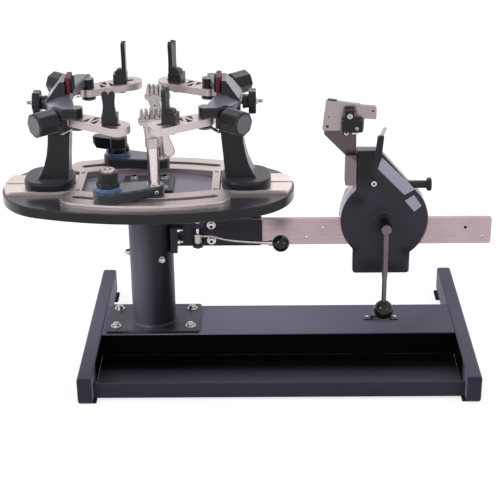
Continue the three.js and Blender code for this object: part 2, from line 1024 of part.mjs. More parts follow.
function gripperArm() {
  const { armLeft, armLow, armHigh, armFront, armBack, tongueLow, tongueHigh, tongueInset } = gripper;
  const right = -head.neckLeft - GAP;
  const post = alongY(rectangle(armLeft, right, armLow, armHigh, gripper.corner), armFront, armBack, 0, 3);
  const tongue = block(
    armLeft + gripper.corner,
    right + gripper.tongueReach,
    armFront + tongueInset,
    armBack - tongueInset,
    tongueLow,
    tongueHigh,
  );
  const flare = [
    [armLeft, armHigh - gripper.corner],
    [right, armHigh - gripper.corner],
    [gripper.gussetRight, gripper.gussetHigh],
    [gripper.gussetLeft, gripper.gussetHigh],
    [gripper.gussetLeft, gripper.gussetHigh - 2 * gripper.corner],
  ];
  const gusset = alongY(outline(flare, gripper.corner / 2), gripper.plateFront, gripper.plateBack, 0, 3);
  return join(post, tongue, gusset);
}

function gripperPlate() {
  const { plateLeft, plateRight, plateLow, plateHigh, plateDrop, corner } = gripper;
  const { tongueEnd, tongueBase, tongueTop, tongueDrop, plateFront, plateBack, plateLean } = gripper;
  const face = [
    [plateLeft, plateLow],
    [plateRight, plateLow],
    [plateRight, tongueBase],
    [tongueEnd, tongueBase - tongueDrop],
    [tongueEnd, tongueTop - tongueDrop],
    [plateRight, tongueTop],
    [plateRight, plateHigh - plateDrop],
    [plateLeft + plateLean, plateHigh],
  ];
  const plate = alongY(outline(face, corner), plateFront, plateBack, 0, 3);
  const pins = gripper.pins.map(([x, z]) =>
    moved(rod("y", gripper.pinRadius, plateFront - gripper.pinReach, plateFront + corner, SMALL), x, 0, z),
  );
  return join(plate, ...pins);
}

function gripperJaw() {
  const { jawLeft, jawRight, jawLow, jawStep, jawHigh, stemLeft, stemRight } = gripper;
  const back = gripper.plateFront - gripper.jawGap;
  const front = back - gripper.jawThickness;
  const face = [
    [jawLeft, jawLow],
    [jawRight, jawLow],
    [jawRight, jawStep],
    [stemRight, jawStep],
    [stemRight, jawHigh],
    [stemLeft, jawHigh],
    [stemLeft, jawStep],
    [jawLeft, jawStep],
  ];
  const body = alongY(outline(face, gripper.corner / 2), front, back, column.edge, 2);
  const bores = gripper.pins.map(([x, z]) =>
    moved(bore("y", gripper.pinRadius, front - OVERRUN, back + OVERRUN, SMALL), x, 0, z),
  );
  return cut(body, ...bores);
}

// The turntable

// A three-centre oval: two flat side arcs that run into two tight end arcs.
function oval(inset) {
  const side = deck.sideRadius - inset;
  const end = deck.endRadius - inset;
  const drop = deck.sideRadius - deck.halfWidth;
  const along = deck.halfLength - deck.endRadius;
  const meet = Math.atan2(drop, along);
  const shape = new THREE.Shape();
  shape.absarc(along, 0, end, -meet, meet);
  shape.absarc(0, -drop, side, meet, Math.PI - meet);
  shape.absarc(-along, 0, end, Math.PI - meet, Math.PI + meet);
  shape.absarc(0, drop, side, Math.PI + meet, 2 * Math.PI - meet);
  return shape;
}

function turntableDeck() {
  return alongZ(oval(0), deck.low, deck.top, deck.edge, 6);
}

function deckRail() {
  const { railInner, railHalf, railTop, top, railEdge, groove, grooveDepth, halfLength, edge } = deck;
  const plan = rectangle(railInner, halfLength + OVERRUN, -railHalf, railHalf);
  const bar = alongZ(plan, top, railTop);
  const within = alongZ(oval(edge + railEdge), top - OVERRUN, railTop + OVERRUN, 0, 6);
  const floor = railTop - grooveDepth;
  const half = groove / 2;
  const slot = block(railInner - OVERRUN, halfLength + OVERRUN, -half, half, floor, railTop + OVERRUN);
  return cut(common(bar, within), slot);
}

// A curved bar with round ends, centred on the turntable's front side.
function arcBar(half, reach) {
  const centre = glide.radius - glide.offset;
  const spread = Math.asin(reach / glide.radius);
  const from = -Math.PI / 2 - spread;
  const to = -Math.PI / 2 + spread;
  const end = (angle) => [glide.radius * Math.cos(angle), centre + glide.radius * Math.sin(angle)];
  const shape = new THREE.Shape();
  shape.absarc(0, centre, glide.radius + half, from, to);
  shape.absarc(...end(to), half, to, to + Math.PI);
  shape.absarc(0, centre, glide.radius - half, to, from, true);
  shape.absarc(...end(from), half, from + Math.PI, from + 2 * Math.PI);
  return shape;
}

function glideSide() {
  const { half, reach, top, slotHalf, channelHalf, channelDepth } = glide;
  const bar = alongZ(arcBar(half, reach), deck.top, top);
  const slot = alongZ(arcBar(slotHalf, reach), deck.top - OVERRUN, top + OVERRUN);
  const channel = alongZ(arcBar(channelHalf, reach), deck.top - OVERRUN, deck.top + channelDepth);
  return cut(bar, slot, channel);
}

function glideFrame() {
  const { barInner, barOuter, barHole, top, offset, half } = glide;
  const front = glideSide();
  const inside = offset - half + OVERRUN;
  const bars = [-1, 1].map((side) => {
    const ends = [side * barInner, side * barOuter].sort((a, b) => a - b);
    const bar = block(ends[0], ends[1], -inside, inside, deck.top, top);
    const hole = rod("z", barHole, deck.top - OVERRUN, top + OVERRUN, SMALL);
    return cut(bar, moved(hole, (ends[0] + ends[1]) / 2, 0, 0));
  });
  const slot = alongZ(arcBar(glide.channelHalf, glide.reach), deck.top - OVERRUN, top + OVERRUN);
  const clear = [slot, turnedBy(slot, 180)];
  const trimmed = bars.map((bar) => cut(bar, ...clear));
  return join(front, turnedBy(front, 180), ...trimmed);
}

function hubPlate() {
  const { hubLength, hubWidth, hubHeight, hubRound, top, edge } = deck;
  const plan = rectangle(-hubLength / 2, hubLength / 2, -hubWidth / 2, hubWidth / 2, hubRound);
  return alongZ(plan, top, top + hubHeight, edge, 4);
}

// The towers, drawn on the +X side

function towerBody() {
  const { inner, outer, half, lengthRound, widthRound, edge, top, key, keyLength } = tower;
  const plan = new THREE.Shape();
  const corner = (x, y, turn) => plan.absellipse(x, y, lengthRound, widthRound, turn, turn + Math.PI / 2);
  corner(outer - lengthRound, half - widthRound, 0);
  corner(inner + lengthRound, half - widthRound, Math.PI / 2);
  corner(inner + lengthRound, widthRound - half, Math.PI);
  corner(outer - lengthRound, widthRound - half, 1.5 * Math.PI);
  const puck = alongZ(plan, deck.railTop, top, edge, 4);
  const floor = deck.railTop - deck.grooveDepth + GAP;
  const middle = (inner + outer) / 2;
  const rib = block(middle - keyLength / 2, middle + keyLength / 2, -key / 2, key / 2, floor, top - edge);
  return join(puck, rib, towerLeg());
}

function towerLeg() {
  const { top, edge, legTop, legInnerLow, legOuterLow, legInnerHigh, legOuterHigh, legBowX, legBowZ } = tower;
  const side = new THREE.Shape();
  side.moveTo(legInnerLow, top - edge);
  side.lineTo(legOuterLow, top - edge);
  side.quadraticCurveTo(legBowX, top + legBowZ, legOuterHigh, legTop);
  side.lineTo(legInnerHigh, legTop);
  side.closePath();
  const wide = tower.legHalf;
  const narrow = tower.legHalfHigh;
  const face = outline([
    [-wide, top - edge],
    [wide, top - edge],
    [narrow, legTop],
    [-narrow, legTop],
  ]);
  const slab = alongY(side, -wide, wide, 0, 5);
  return common(slab, alongX(face, legInnerHigh - OVERRUN, legOuterLow + OVERRUN));
}

function castingHalf(side) {
  const { outer, neckHalf, shoulder, tip, wingInner, waist } = casting;
  const half = [
    [outer, neckHalf],
    shoulder,
    tip,
    [wingInner, tip[1]],
    waist,
  ];
  return half.map(([x, y]) => [x, side * y]);
}

function knobPlace() {
  const [x0, y0] = casting.shoulder;
  const [x1, y1] = casting.tip;
  return { x: (x0 + x1) / 2, y: (y0 + y1) / 2, angle: Math.atan2(x0 - x1, y1 - y0) };
}

// The plate behind a knob's facet, with its outer face in line with the facet.
function castingLug(side) {
  const { x, y, angle } = knobPlace();
  const length = Math.hypot(casting.shoulder[0] - casting.tip[0], casting.shoulder[1] - casting.tip[1]);
  const half = length / 2 - casting.edge;
  const lug = block(-casting.lug, 0, -half, half, casting.lugLow, casting.low + casting.edge);
  return moved(lug.rotateZ(side * angle), x, side * y, 0);
}

function knobBore(side) {
  const { x, y, angle } = knobPlace();
  const hole = bore("x", knob.shaftRadius, -knob.shaftDepth - GAP, OVERRUN, SMALL);
  return moved(hole.rotateZ(side * angle), x, side * y, knob.z);
}

// The wings are flat on top by the pad, and fall towards the outer side.
function castingWings() {
  const { low, high, edge, outer, wingInner, tip, fallFrom, fallTo } = casting;
  const plan = outline([...castingHalf(1), ...castingHalf(-1).reverse()]);
  const side = outline([
    [wingInner - OVERRUN, low],
    [outer, low],
    [outer, fallTo],
    [fallFrom, high],
    [wingInner - OVERRUN, high],
  ]);
  const reach = tip[1] + OVERRUN;
  return common(alongZ(plan, low, high, edge), alongY(side, -reach, reach));
}

// The crest behind the pad slopes down on its outer side and at both ends.
function castingCrest() {
  const { outer, fallTo, edge, crestInner, crestOuter, crestTop, crestFoot } = casting;
  const { crestHalf, crestHalfTop } = casting;
  const side = outline([
    [crestInner, fallTo],
    [outer - edge, fallTo],
    [outer - edge, crestFoot],
    [crestOuter, crestTop],
    [crestInner, crestTop],
  ]);
  const face = outline([
    [-crestHalf, fallTo],
    [crestHalf, fallTo],
    [crestHalfTop, crestTop],
    [-crestHalfTop, crestTop],
  ]);
  return common(alongY(side, -crestHalf, crestHalf), alongX(face, crestInner - OVERRUN, outer));
}

function towerHead() {
  const { high, edge, neckInner, neckHalf, outer, bossRadius, bossX, bossY, lugLow, fallTo } = casting;
  const neckPlan = rectangle(neckInner, outer - edge, -neckHalf, neckHalf, edge);
  const neck = alongZ(neckPlan, tower.legTop, fallTo - edge, 0, 3);
  const boss = rod("z", bossRadius, lugLow, high - edge);
  const bosses = [-1, 1].map((side) => moved(boss, bossX, side * bossY, 0));
  const lugs = [castingLug(1), castingLug(-1)];
  const depth = outer - star.shaftDepth - GAP;
  const starBore = moved(bore("x", star.shaftRadius, depth, outer + OVERRUN, SMALL), 0, 0, star.z);
  const solid = join(castingWings(), castingCrest(), neck, ...bosses, ...lugs);
  return cut(solid, starBore, knobBore(1), knobBore(-1));
}

function framePad() {
  const { inner, outer, half, height, round, edge } = pad;
  const plan = rectangle(inner, outer, -half, half, round);
  return alongZ(plan, casting.high, casting.high + height, edge, 4);
}

// Knobs are drawn along +X from the face that they stand on.
function armKnob() {
  const { shaftRadius, shaftDepth, collarRadius, collar, radius, length, edge, flutes, flute } = knob;
  const shaft = rod("x", shaftRadius, -shaftDepth, 2 * GAP, SMALL);
  const neck = rod("x", collarRadius, GAP, collar + edge);
  const grip = alongX(lobed(radius, flute, flutes, 2), collar, collar + length, edge);
  return join(shaft, neck, grip);
}

function starKnob() {
  const { shaftRadius, shaftDepth, hubRadius, hub, radius, disc } = star;
  const { lobes, lobe, edge, screwRadius, screw } = star;
  const shaft = rod("x", shaftRadius, -shaftDepth, 2 * GAP, SMALL);
  const boss = rod("x", hubRadius, GAP, hub + edge);
  const grip = alongX(lobed(radius, lobe, lobes, 4), hub, hub + disc, edge);
  const tail = rod("x", screwRadius, hub, hub + disc + screw, 8);
  return join(shaft, boss, grip, tail);
}

// The arms and their hooks, drawn along +X from the hinge

// A triangle drawn in by a distance from each of its sides.
function drawnIn(corners, distance) {
  const [a, b, c] = corners.map(([x, y]) => new THREE.Vector2(x, y));
  const sides = [b.distanceTo(c), c.distanceTo(a), a.distanceTo(b)];
  const around = sides[0] + sides[1] + sides[2];
  const centre = new THREE.Vector2();
  [a, b, c].forEach((corner, i) => centre.addScaledVector(corner, sides[i] / around));
  const area = Math.abs((b.x - a.x) * (c.y - a.y) - (c.x - a.x) * (b.y - a.y)) / 2;
  const inner = (2 * area) / around;
  const keep = (inner - distance) / inner;
  return [a, b, c].map((corner) => corner.clone().sub(centre).multiplyScalar(keep).add(centre).toArray());
}

function trussWindows() {
  const { trussFrom, trussTo, bays, wall, strut, ringRadius, tipRadius, length } = arm;
  const half = (x) => ringRadius + ((tipRadius - ringRadius) * x) / length - wall + strut;
  const step = (trussTo - trussFrom) / bays;
  return Array.from({ length: bays }, (_, i) => {
    const from = trussFrom + (i - 0.5) * step;
    const side = i % 2 ? 1 : -1;
    const middle = from + step;
    const far = from + 2 * step;
    const corners = [
      [from, side * half(from)],
      [far, side * half(far)],
      [middle, -side * half(middle)],
    ];
    return alongZ(outline(drawnIn(corners, strut), strut), arm.low - OVERRUN, arm.high + OVERRUN, 0, 3);
  });
}

function trussArm() {
  const { low, high, ringRadius, tipRadius, length, slotHalf } = arm;
  const plate = alongZ(teardrop(ringRadius, tipRadius, length), low, high, 0, 6);
  const hinge = bore("z", casting.bossRadius, low - OVERRUN, high + OVERRUN);
  const { middle, travel, stemRadius, play } = hook;
  const reach = travel + stemRadius + play;
  const plan = rectangle(middle - reach, middle + reach, -slotHalf, slotHalf, slotHalf);
  return cut(plate, hinge, alongZ(plan, low - OVERRUN, high + OVERRUN, 0, 4), ...trussWindows());
}

// The hook's paddle has two lobes with a waist between them, and stands on a block.
function hookPaddle(top) {
  const { paddleWidth, paddle, paddleOut, lobe, waist, block: high } = hook;
  const half = paddleWidth / 2;
  const low = arm.high + high;
  const shape = new THREE.Shape();
  shape.moveTo(-half, low);
  shape.lineTo(half, low);
  shape.lineTo(half, low + waist);
  shape.quadraticCurveTo(half - lobe / 2, low + 2 * waist, half, top - 2 * lobe);
  shape.absarc(half - lobe, top - lobe, lobe, 0, Math.PI);
  shape.lineTo(0, top - 1.5 * lobe);
  shape.absarc(lobe - half, top - lobe, lobe, 0, Math.PI);
  shape.lineTo(-half, top - 2 * lobe);
  shape.quadraticCurveTo(lobe / 2 - half, low + 2 * waist, -half, low + waist);
  return alongY(shape, -paddleOut - paddle / 2, paddle / 2 - paddleOut);
}

function hookBody(turnDeg, top) {
  const { stemRadius, footRadius, foot, length, width, round, collar, collarInset, block: high } = hook;
  const seat = arm.high + GAP;
  const under = arm.low - GAP;
  const plan = rectangle(-length / 2, length / 2, -width / 2, width / 2, round);
  const long = length / 2 - collarInset;
  const wide = width / 2 - collarInset;
  const shoulderPlan = outline([
    [-long, -wide - collarInset / 2],
    [long, -wide - collarInset / 2],
    [long, wide],
    [-long, wide],
  ]);
  const shoulder = alongZ(shoulderPlan, seat + high / 2, seat + high + collar, collarInset);
  const block = alongZ(plan, seat, seat + high, 0, 2);
  const body = turnedBy(join(block, shoulder, hookPaddle(top)), turnDeg);
  const stem = rod("z", stemRadius, under - foot, seat + GAP, SMALL);
  const nut = rod("z", footRadius, under - foot, under, 6);
  return join(body, stem, nut);
}

// The fixed clamps, drawn along +X from the lock knob's axis

function slideStud() {
  const { nutRadius, nut, nutRise, neckRadius, studRadius } = clamp;
  const low = deck.top + nutRise;
  const foot = rod("z", nutRadius, low, low + nut, ROUND);
  const neck = rod("z", neckRadius, low, glide.top, SMALL);
  const screw = rod("z", studRadius, low, clampTop() + clamp.knobHeight, SMALL);
  return join(foot, neck, screw);
}

function clampTop() {
  return glide.top + GAP + clamp.baseHeight;
}

function clampBase() {
  const { knobEnd, postEnd, reach, edge, studRadius, postRadius, socketFloor } = clamp;
  const low = glide.top + GAP;
  const top = clampTop();
  const body = alongZ(teardrop(knobEnd, postEnd, reach), low, top, edge, 6);
  const studHole = bore("z", studRadius, low - OVERRUN, top + OVERRUN, SMALL);
  const socket = moved(bore("z", postRadius, low + socketFloor, top + OVERRUN), reach, 0, 0);
  return cut(body, studHole, socket);
}

function lockWing(high) {
  const { wingRadius, wingTip, wingReach, wingDrop, wing, edge } = clamp;
  const top = high - wingDrop;
  return turnedBy(alongZ(teardrop(wingRadius, wingTip, wingReach), top - wing, top, edge, 5), 180);
}

function lockKnob(winged) {
  const { ringRadius, ring, knobRadius, knobHeight, capRadius, cap, flutes, flute, studRadius, edge } = clamp;
  const low = clampTop() + GAP;
  const flange = peg("z", ringRadius, low, low + ring, ring / 3);
  const high = low + ring + knobHeight;
  const grip = alongZ(lobed(knobRadius, flute, flutes, 2), low + ring / 2, high, edge);
  const top = rod("z", capRadius, high - edge, high + cap);
  const studHole = bore("z", studRadius, low - OVERRUN, clampTop() + knobHeight + GAP, SMALL);
  const knobs = winged ? [grip, lockWing(high)] : [grip];
  return cut(join(flange, ...knobs, top), studHole);
}

// The jaws' front view: a bell that widens from the post to a row of tapered teeth.
function jawFace() {
  const { neckHalf, headHalf, headLow, shoulder, gum, toothTop, teeth, toothPitch } = clamp;
  const shape = new THREE.Shape();
  shape.moveTo(-neckHalf, headLow);
  shape.lineTo(neckHalf, headLow);
  shape.quadraticCurveTo(neckHalf + clamp.slit, shoulder, headHalf, shoulder);
  shape.lineTo(headHalf, gum);
  const base = (clamp.toothBaseShare * toothPitch) / 2;
  const tip = (clamp.toothTipShare * toothPitch) / 2;
  for (let i = teeth - 1; i >= 0; i -= 1) {
    const middle = (i - (teeth - 1) / 2) * toothPitch;
    shape.lineTo(middle + base, gum);
    shape.lineTo(middle + tip, toothTop);
    shape.lineTo(middle - tip, toothTop);
    shape.lineTo(middle - base, gum);
  }
  shape.lineTo(-headHalf, gum);
  shape.lineTo(-headHalf, shoulder);
  shape.quadraticCurveTo(-neckHalf - clamp.slit, shoulder, -neckHalf, headLow);
  return shape;
}

function clampHead() {
  const { postRadius, collarRadius, collarLow, headLow, headDepth } = clamp;
  const { tipDepth, headHalf, gum, toothTop } = clamp;
  const front = alongY(jawFace(), -headDepth, headDepth);
  const flank = outline([
    [-headDepth, headLow],
    [headDepth, headLow],
    [headDepth, gum],
    [tipDepth, toothTop],
    [-tipDepth, toothTop],
    [-headDepth, gum],
  ]);
  const jaws = common(front, alongX(flank, -headHalf - OVERRUN, headHalf + OVERRUN));
  const slit = block(
    -headHalf - OVERRUN,
    headHalf + OVERRUN,
    -clamp.slit,
    clamp.slit,
    clamp.slitLow,
    toothTop + OVERRUN,
  );
  const foot = glide.top + 2 * GAP + clamp.socketFloor;
  const post = rod("z", postRadius, foot, headLow);
  const collar = peg("z", collarRadius, collarLow, headLow, column.edge);
  const whole = join(cut(jaws, slit), post, collar, clampLug());
  return moved(cut(whole, leverPin(GAP)), clamp.reach, 0, 0);
}

function leverHeight() {
  return (clamp.lugLow + clamp.lugHigh) / 2;
}

function clampLug() {
  const { lugReach, lugLow, lugHigh, lugHalf } = clamp;
  const face = rectangle(0, lugReach, lugLow, lugHigh, lugHalf);
  return alongY(face, -lugHalf, lugHalf, 0, 3);
}

function leverPin(clearance) {
  const { leverPin: radius, lugHalf, leverThickness, lugReach } = clamp;
  const pin = rod("y", radius + clearance, -lugHalf - leverThickness, lugHalf + 2 * clearance, SMALL);
  return moved(pin, leverX(), 0, leverHeight());
}

function leverX() {
  return clamp.lugReach - clamp.lugHalf - clamp.leverPin;
}

function clampLever() {
  const { leverRadius, leverTip, leverThickness, leverReach, leverSwing, lugHalf, edge } = clamp;
  const drop = teardrop(leverRadius, leverTip, leverReach);
  const front = -lugHalf - GAP;
  const plate = alongY(drop, front - leverThickness, front, edge, 5);
  const tilt = Math.acos(leverSwing / leverReach);
  const handle = moved(plate.rotateY(tilt), leverX(), 0, leverHeight());
  return moved(join(handle, leverPin(0)), clamp.reach, 0, 0);
}

// The assembly

function addStand(group) {
  part(group, "base_channel", baseChannel(), finish.black);
  part(group, "left_foot_bar", footBar(stand.leftFoot), finish.black);
  part(group, "right_foot_bar", footBar(stand.rightFoot), finish.black);
  for (const [side, x] of Object.entries({ left: stand.leftFoot, right: stand.rightFoot })) {
    part(group, `${side}_front_pad`, footPad(x, -1), finish.rubber);
    part(group, `${side}_rear_pad`, footPad(x, 1), finish.rubber);
  }
  part(group, "column_post", columnPost(), finish.black);
  part(group, "bearing_sleeve", bearingSleeve(), finish.steel);
  part(group, "rail_bracket", railBracket(), finish.black);
  part(group, "tension_rail", tensionRail(), finish.steel);
  part(group, "tool_clip", toolClip(), finish.black);
  part(group, "brake_pin", brakePin(), finish.steel);
  part(group, "brake_lever", brakeLever(), finish.steel);
  part(group, "brake_ball", brakeBall(), finish.black);
}

function addHead(group) {
  const placed = new THREE.Group();
  placed.position.set(head.x, 0, head.z);
  part(placed, "head_cover", headCover(), finish.slate);
  part(placed, "head_carriage", headCarriage(), finish.paleGrey);
  part(placed, "gripper_arm", gripperArm(), finish.steel);
  part(placed, "gripper_plate", gripperPlate(), finish.steel);
  part(placed, "gripper_jaw", gripperJaw(), finish.black);
  part(placed, "lock_lever", lockLever(), finish.black);
  part(placed, "tension_knob", tensionKnob(), finish.steel);
  part(placed, "crank_arm", crankArm(), finish.steel);
  part(placed, "crank_ball", crankBall(), finish.black);
  group.add(placed);
}

function addTower(group, side) {
  part(group, `${side}_tower`, towerBody(), finish.black);
  part(group, `${side}_tower_head`, towerHead(), finish.black);
  part(group, `${side}_frame_pad`, framePad(), finish.maroon);
  const outer = new THREE.Group();
  outer.position.set(casting.outer, 0, star.z);
  part(outer, `${side}_star_knob`, starKnob(), finish.black);
  group.add(outer);
  for (const sign of [-1, 1]) addArm(group, side, sign);
}

// On the tower that is turned round, the arm on its -Y side is the rear one.
function addArm(group, side, sign) {
  const end = (sign < 0) === (side === "right") ? "front" : "rear";
  const place = knobPlace();
  const turner = new THREE.Group();
  turner.position.set(place.x, sign * place.y, knob.z);
  turner.rotation.z = sign * place.angle;
  part(turner, `${side}_${end}_arm_knob`, armKnob(), finish.black);
  const hinge = new THREE.Group();
  hinge.position.set(casting.bossX, sign * casting.bossY, 0);
  hinge.rotation.z = Math.PI - sign * radians(arm.outDeg);
  part(hinge, `${side}_${end}_arm`, trussArm(), finish.aluminium);
  const slider = new THREE.Group();
  slider.position.x = hookPlaces[`${side}_${end}`];
  const turnDeg = sign * arm.outDeg + hookTurnsDeg[`${side}_${end}`];
  part(slider, `${side}_${end}_hook`, hookBody(turnDeg, hookTops[end]), finish.black);
  hinge.add(slider);
  group.add(turner, hinge);
}

function addClamp(group, side) {
  const { sign, turnDeg, winged } = clampSides[side];
  const placed = new THREE.Group();
  const rise = glide.radius - Math.sqrt(glide.radius ** 2 - clamp.along ** 2);
  placed.position.set(-clamp.along, sign * (glide.offset - rise), 0);
  placed.rotation.z = radians(turnDeg);
  part(placed, `${side}_slide_stud`, slideStud(), finish.steel);
  part(placed, `${side}_clamp_base`, clampBase(), finish.black);
  part(placed, `${side}_lock_knob`, lockKnob(winged), finish.black);
  part(placed, `${side}_clamp_head`, clampHead(), finish.steel);
  part(placed, `${side}_clamp_lever`, clampLever(), finish.black);
  group.add(placed);
}

function addTurntable(group) {
  part(group, "spindle", spindle(), finish.steel);
  part(group, "turntable_deck", turntableDeck(), finish.black);
  const turns = { right: 0, left: Math.PI };
  for (const [side, turn] of Object.entries(turns)) {
    const half = new THREE.Group();
    half.rotation.z = turn;
    part(half, `${side}_deck_rail`, deckRail(), finish.aluminium);
    addTower(half, side);
    group.add(half);
  }
  part(group, "glide_frame", glideFrame(), finish.aluminium);
  part(group, "hub_plate", hubPlate(), finish.black);
  addClamp(group, "front");
  addClamp(group, "rear");
}

// The model's origin is the middle of its footprint, so the column stands to the left of it.
const machine = new THREE.Group();
machine.position.x = (deck.halfLength - rail.right) / 2;
addStand(machine);
addTurntable(machine);
addHead(machine);

export default machine;
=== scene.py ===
"""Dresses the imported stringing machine: its visible pieces, its finishes and a plain studio.

The pieces are modelled in millimetres, in the frame of the CAD model.
They are scaled to metres when they are placed.
"""

import math

import bmesh
import bpy
from bpy.props import FloatProperty, FloatVectorProperty, IntProperty, PointerProperty
from mathutils import Matrix, Vector


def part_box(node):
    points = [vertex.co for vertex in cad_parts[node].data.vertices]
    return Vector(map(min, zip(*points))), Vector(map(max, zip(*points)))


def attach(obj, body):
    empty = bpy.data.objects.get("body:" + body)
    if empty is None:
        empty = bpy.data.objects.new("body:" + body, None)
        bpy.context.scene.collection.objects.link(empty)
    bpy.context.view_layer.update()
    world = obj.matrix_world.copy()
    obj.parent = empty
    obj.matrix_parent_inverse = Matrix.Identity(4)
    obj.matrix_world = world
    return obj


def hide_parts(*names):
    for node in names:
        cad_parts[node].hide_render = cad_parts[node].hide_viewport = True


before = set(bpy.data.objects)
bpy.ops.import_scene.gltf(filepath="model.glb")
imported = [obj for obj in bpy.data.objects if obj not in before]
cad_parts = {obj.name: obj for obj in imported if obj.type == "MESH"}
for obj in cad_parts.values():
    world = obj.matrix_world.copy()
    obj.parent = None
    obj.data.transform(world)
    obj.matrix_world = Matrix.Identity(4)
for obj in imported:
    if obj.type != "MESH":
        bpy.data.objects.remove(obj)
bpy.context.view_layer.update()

bl_info = {
    "name": "Racket Stringing Machine",
    "version": (1, 0, 0),
    "blender": (4, 5, 0),
    "location": "3D View > Sidebar > Stringer",
    "description": "Builds the dressed pieces, finishes and studio of a table-top stringing machine",
    "category": "Object",
}

MM = 0.001
# Vertices closer than this, in millimetres, are one
TINY = 0.002
# The angles in degrees from which an edge is rounded, and from which it stays sharp in the shading
ROUND_FROM = 28
SHARP_FROM = 34
UP = (0, 0, 1)
DOWN = (0, 0, -1)
FRONTWARD = (0, -1, 0)
BACKWARD = (0, 1, 0)
RIGHTWARD = (1, 0, 0)
SIDES = ("left", "right")
ENDS = ("front", "rear")


# Sizes and colours that a user would change


def measure(name, description, default, unit="LENGTH"):
    return FloatProperty(name=name, description=description, default=default, unit=unit, min=0)


def colour(name, description, default):
    return FloatVectorProperty(
        name=name, description=description, default=default, subtype="COLOR", size=3, min=0, max=1
    )


def share(name, description, default):
    return FloatProperty(name=name, description=description, default=default, subtype="FACTOR", min=0, max=1)


class StringerSizes(bpy.types.PropertyGroup):
    """Edge radii and fastener sizes of the dressed pieces."""

    sheet_edge: measure("Sheet edge", "Radius on the edges of the folded sheet base", 0.0007)
    bar_edge: measure("Bar edge", "Radius on the edges of the foot bars and bracket", 0.0014)
    casting_edge: measure("Casting edge", "Radius on the edges of the cast pieces", 0.0016)
    machined_edge: measure("Machined edge", "Radius on the edges of the milled pieces", 0.0006)
    deck_edge: measure("Deck edge", "Radius on the rim of the turntable's deck", 0.0018)
    flange_bolt: measure("Flange bolt", "Diameter of the bolts that hold the column's flange", 0.0085)
    hub_bolt: measure("Hub bolt", "Diameter of the bolts in the turntable's hub plate", 0.0085)
    round_steps: IntProperty(
        name="Round steps", description="Steps in a full turn of a round piece", default=64, min=12
    )


class StringerColours(bpy.types.PropertyGroup):
    """Base colours of the machine's finishes."""

    coat: colour("Powder coat", "Charcoal powder coat on the base and column", (0.018, 0.0155, 0.026))
    coat_lit: colour("Powder coat's sheen", "The powder coat seen at a slant", (0.12, 0.105, 0.165))
    column_lit: colour("Column's lit side", "The left side of the column", (0.11, 0.1, 0.135))
    column_dark: colour("Column's shaded side", "The right side of the column", (0.006, 0.0055, 0.009))
    # Painted shade: near black, laid in the depth of the tool tray, on the foot bars' inner faces beside it
    # and in soft patches on the head's cover
    tray: colour("Tray", "The depth of the open tool tray", (0.0014, 0.0014, 0.0018))
    casting: colour("Black casting", "Semi-gloss black on the cast pieces", (0.012, 0.0115, 0.0155))
    casting_lit: colour("Casting's sheen", "The castings seen at a slant", (0.16, 0.148, 0.205))
    rubbed: colour("Rubbed edge", "Dark metal where a coat is rubbed through", (0.1, 0.095, 0.105))
    deck: colour("Deck", "Gloss black on the turntable's deck", (0.009, 0.008, 0.011))
    deck_lit: colour("Deck's sheen", "The deck where it is seen at a slant", (0.05, 0.046, 0.062))
    # Painted reflection: the lighter lavender laid on the black deck between the glide bars
    deck_inside_reflection: colour("Deck inside", "The deck between the glide bars", (0.235, 0.205, 0.28))
    tray_coat: colour("Base coat", "Charcoal powder coat on the base's sheet and feet", (0.036, 0.032, 0.047))
    tray_lit: colour("Base coat's sheen", "The base's coat where it is seen at a slant", (0.2, 0.18, 0.25))
    cover: colour("Head cover", "Slate finish on the tension head's cover", (0.019, 0.0165, 0.026))
    housing: colour("Head housing", "Lavender grey behind the cover's face", (0.25, 0.24, 0.295))
    carriage: colour("Carriage", "Pale grey finish behind the cover", (0.62, 0.61, 0.69))
    carriage_worn: colour("Carriage's edges", "Rubbed edges of the pale carriage", (0.6, 0.6, 0.62))
    plastic: colour("Black plastic", "Moulded black plastic of the knobs and hooks", (0.008, 0.008, 0.010))
    plastic_lit: colour("Plastic's sheen", "The plastic seen at a slant", (0.07, 0.066, 0.076))
    cap: colour("Knob cap", "Grey discs in the ends of the arm knobs", (0.13, 0.125, 0.14))
    rubber: colour("Rubber", "Rubber of the feet and grips", (0.012, 0.0115, 0.012))
    rail: colour("Rail steel", "Brushed steel of the tension rail", (0.49, 0.375, 0.4))
    satin: colour("Satin steel", "Satin steel of the clamps' jaws and the brake's rod", (0.5, 0.445, 0.43))
    turned: colour("Turned steel", "Turned steel of the clamps' posts", (0.72, 0.64, 0.625))
    aluminium: colour("Aluminium", "Satin aluminium of the arms and the glide frame", (0.57, 0.5, 0.49))
    bright: colour("Bright steel", "Plated steel of the bolts and washers", (0.62, 0.6, 0.6))
    gripper: colour("Gripper steel", "Satin steel of the gripper's plate and post", (0.36, 0.298, 0.3))
    dark: colour("Dark steel", "Shaded steel of the gripper's flare", (0.105, 0.083, 0.09))
    post: colour("Gripper's post", "Lighter lower post of the gripper's arm", (0.19, 0.155, 0.165))
    crank: colour("Crank steel", "Oiled steel of the crank and the screws", (0.145, 0.12, 0.13))
    pad: colour("Frame pad", "Maroon of the two frame pads", (0.1, 0.012, 0.024))
    pad_worn: colour("Frame pad's edges", "Rubbed edges of the maroon pads", (0.36, 0.06, 0.07))
    ring: colour("Blue ring", "Blue band under the lock knobs", (0.035, 0.115, 0.27))
    ring_lit: colour("Blue ring's sheen", "The blue band seen at a slant", (0.2, 0.36, 0.6))
    panel: colour("Panel", "Blank lavender-grey panels on the cover", (0.31, 0.295, 0.375))
    panel_worn: colour("Panel's edges", "Rubbed edges of the blank panels", (0.5, 0.5, 0.55))


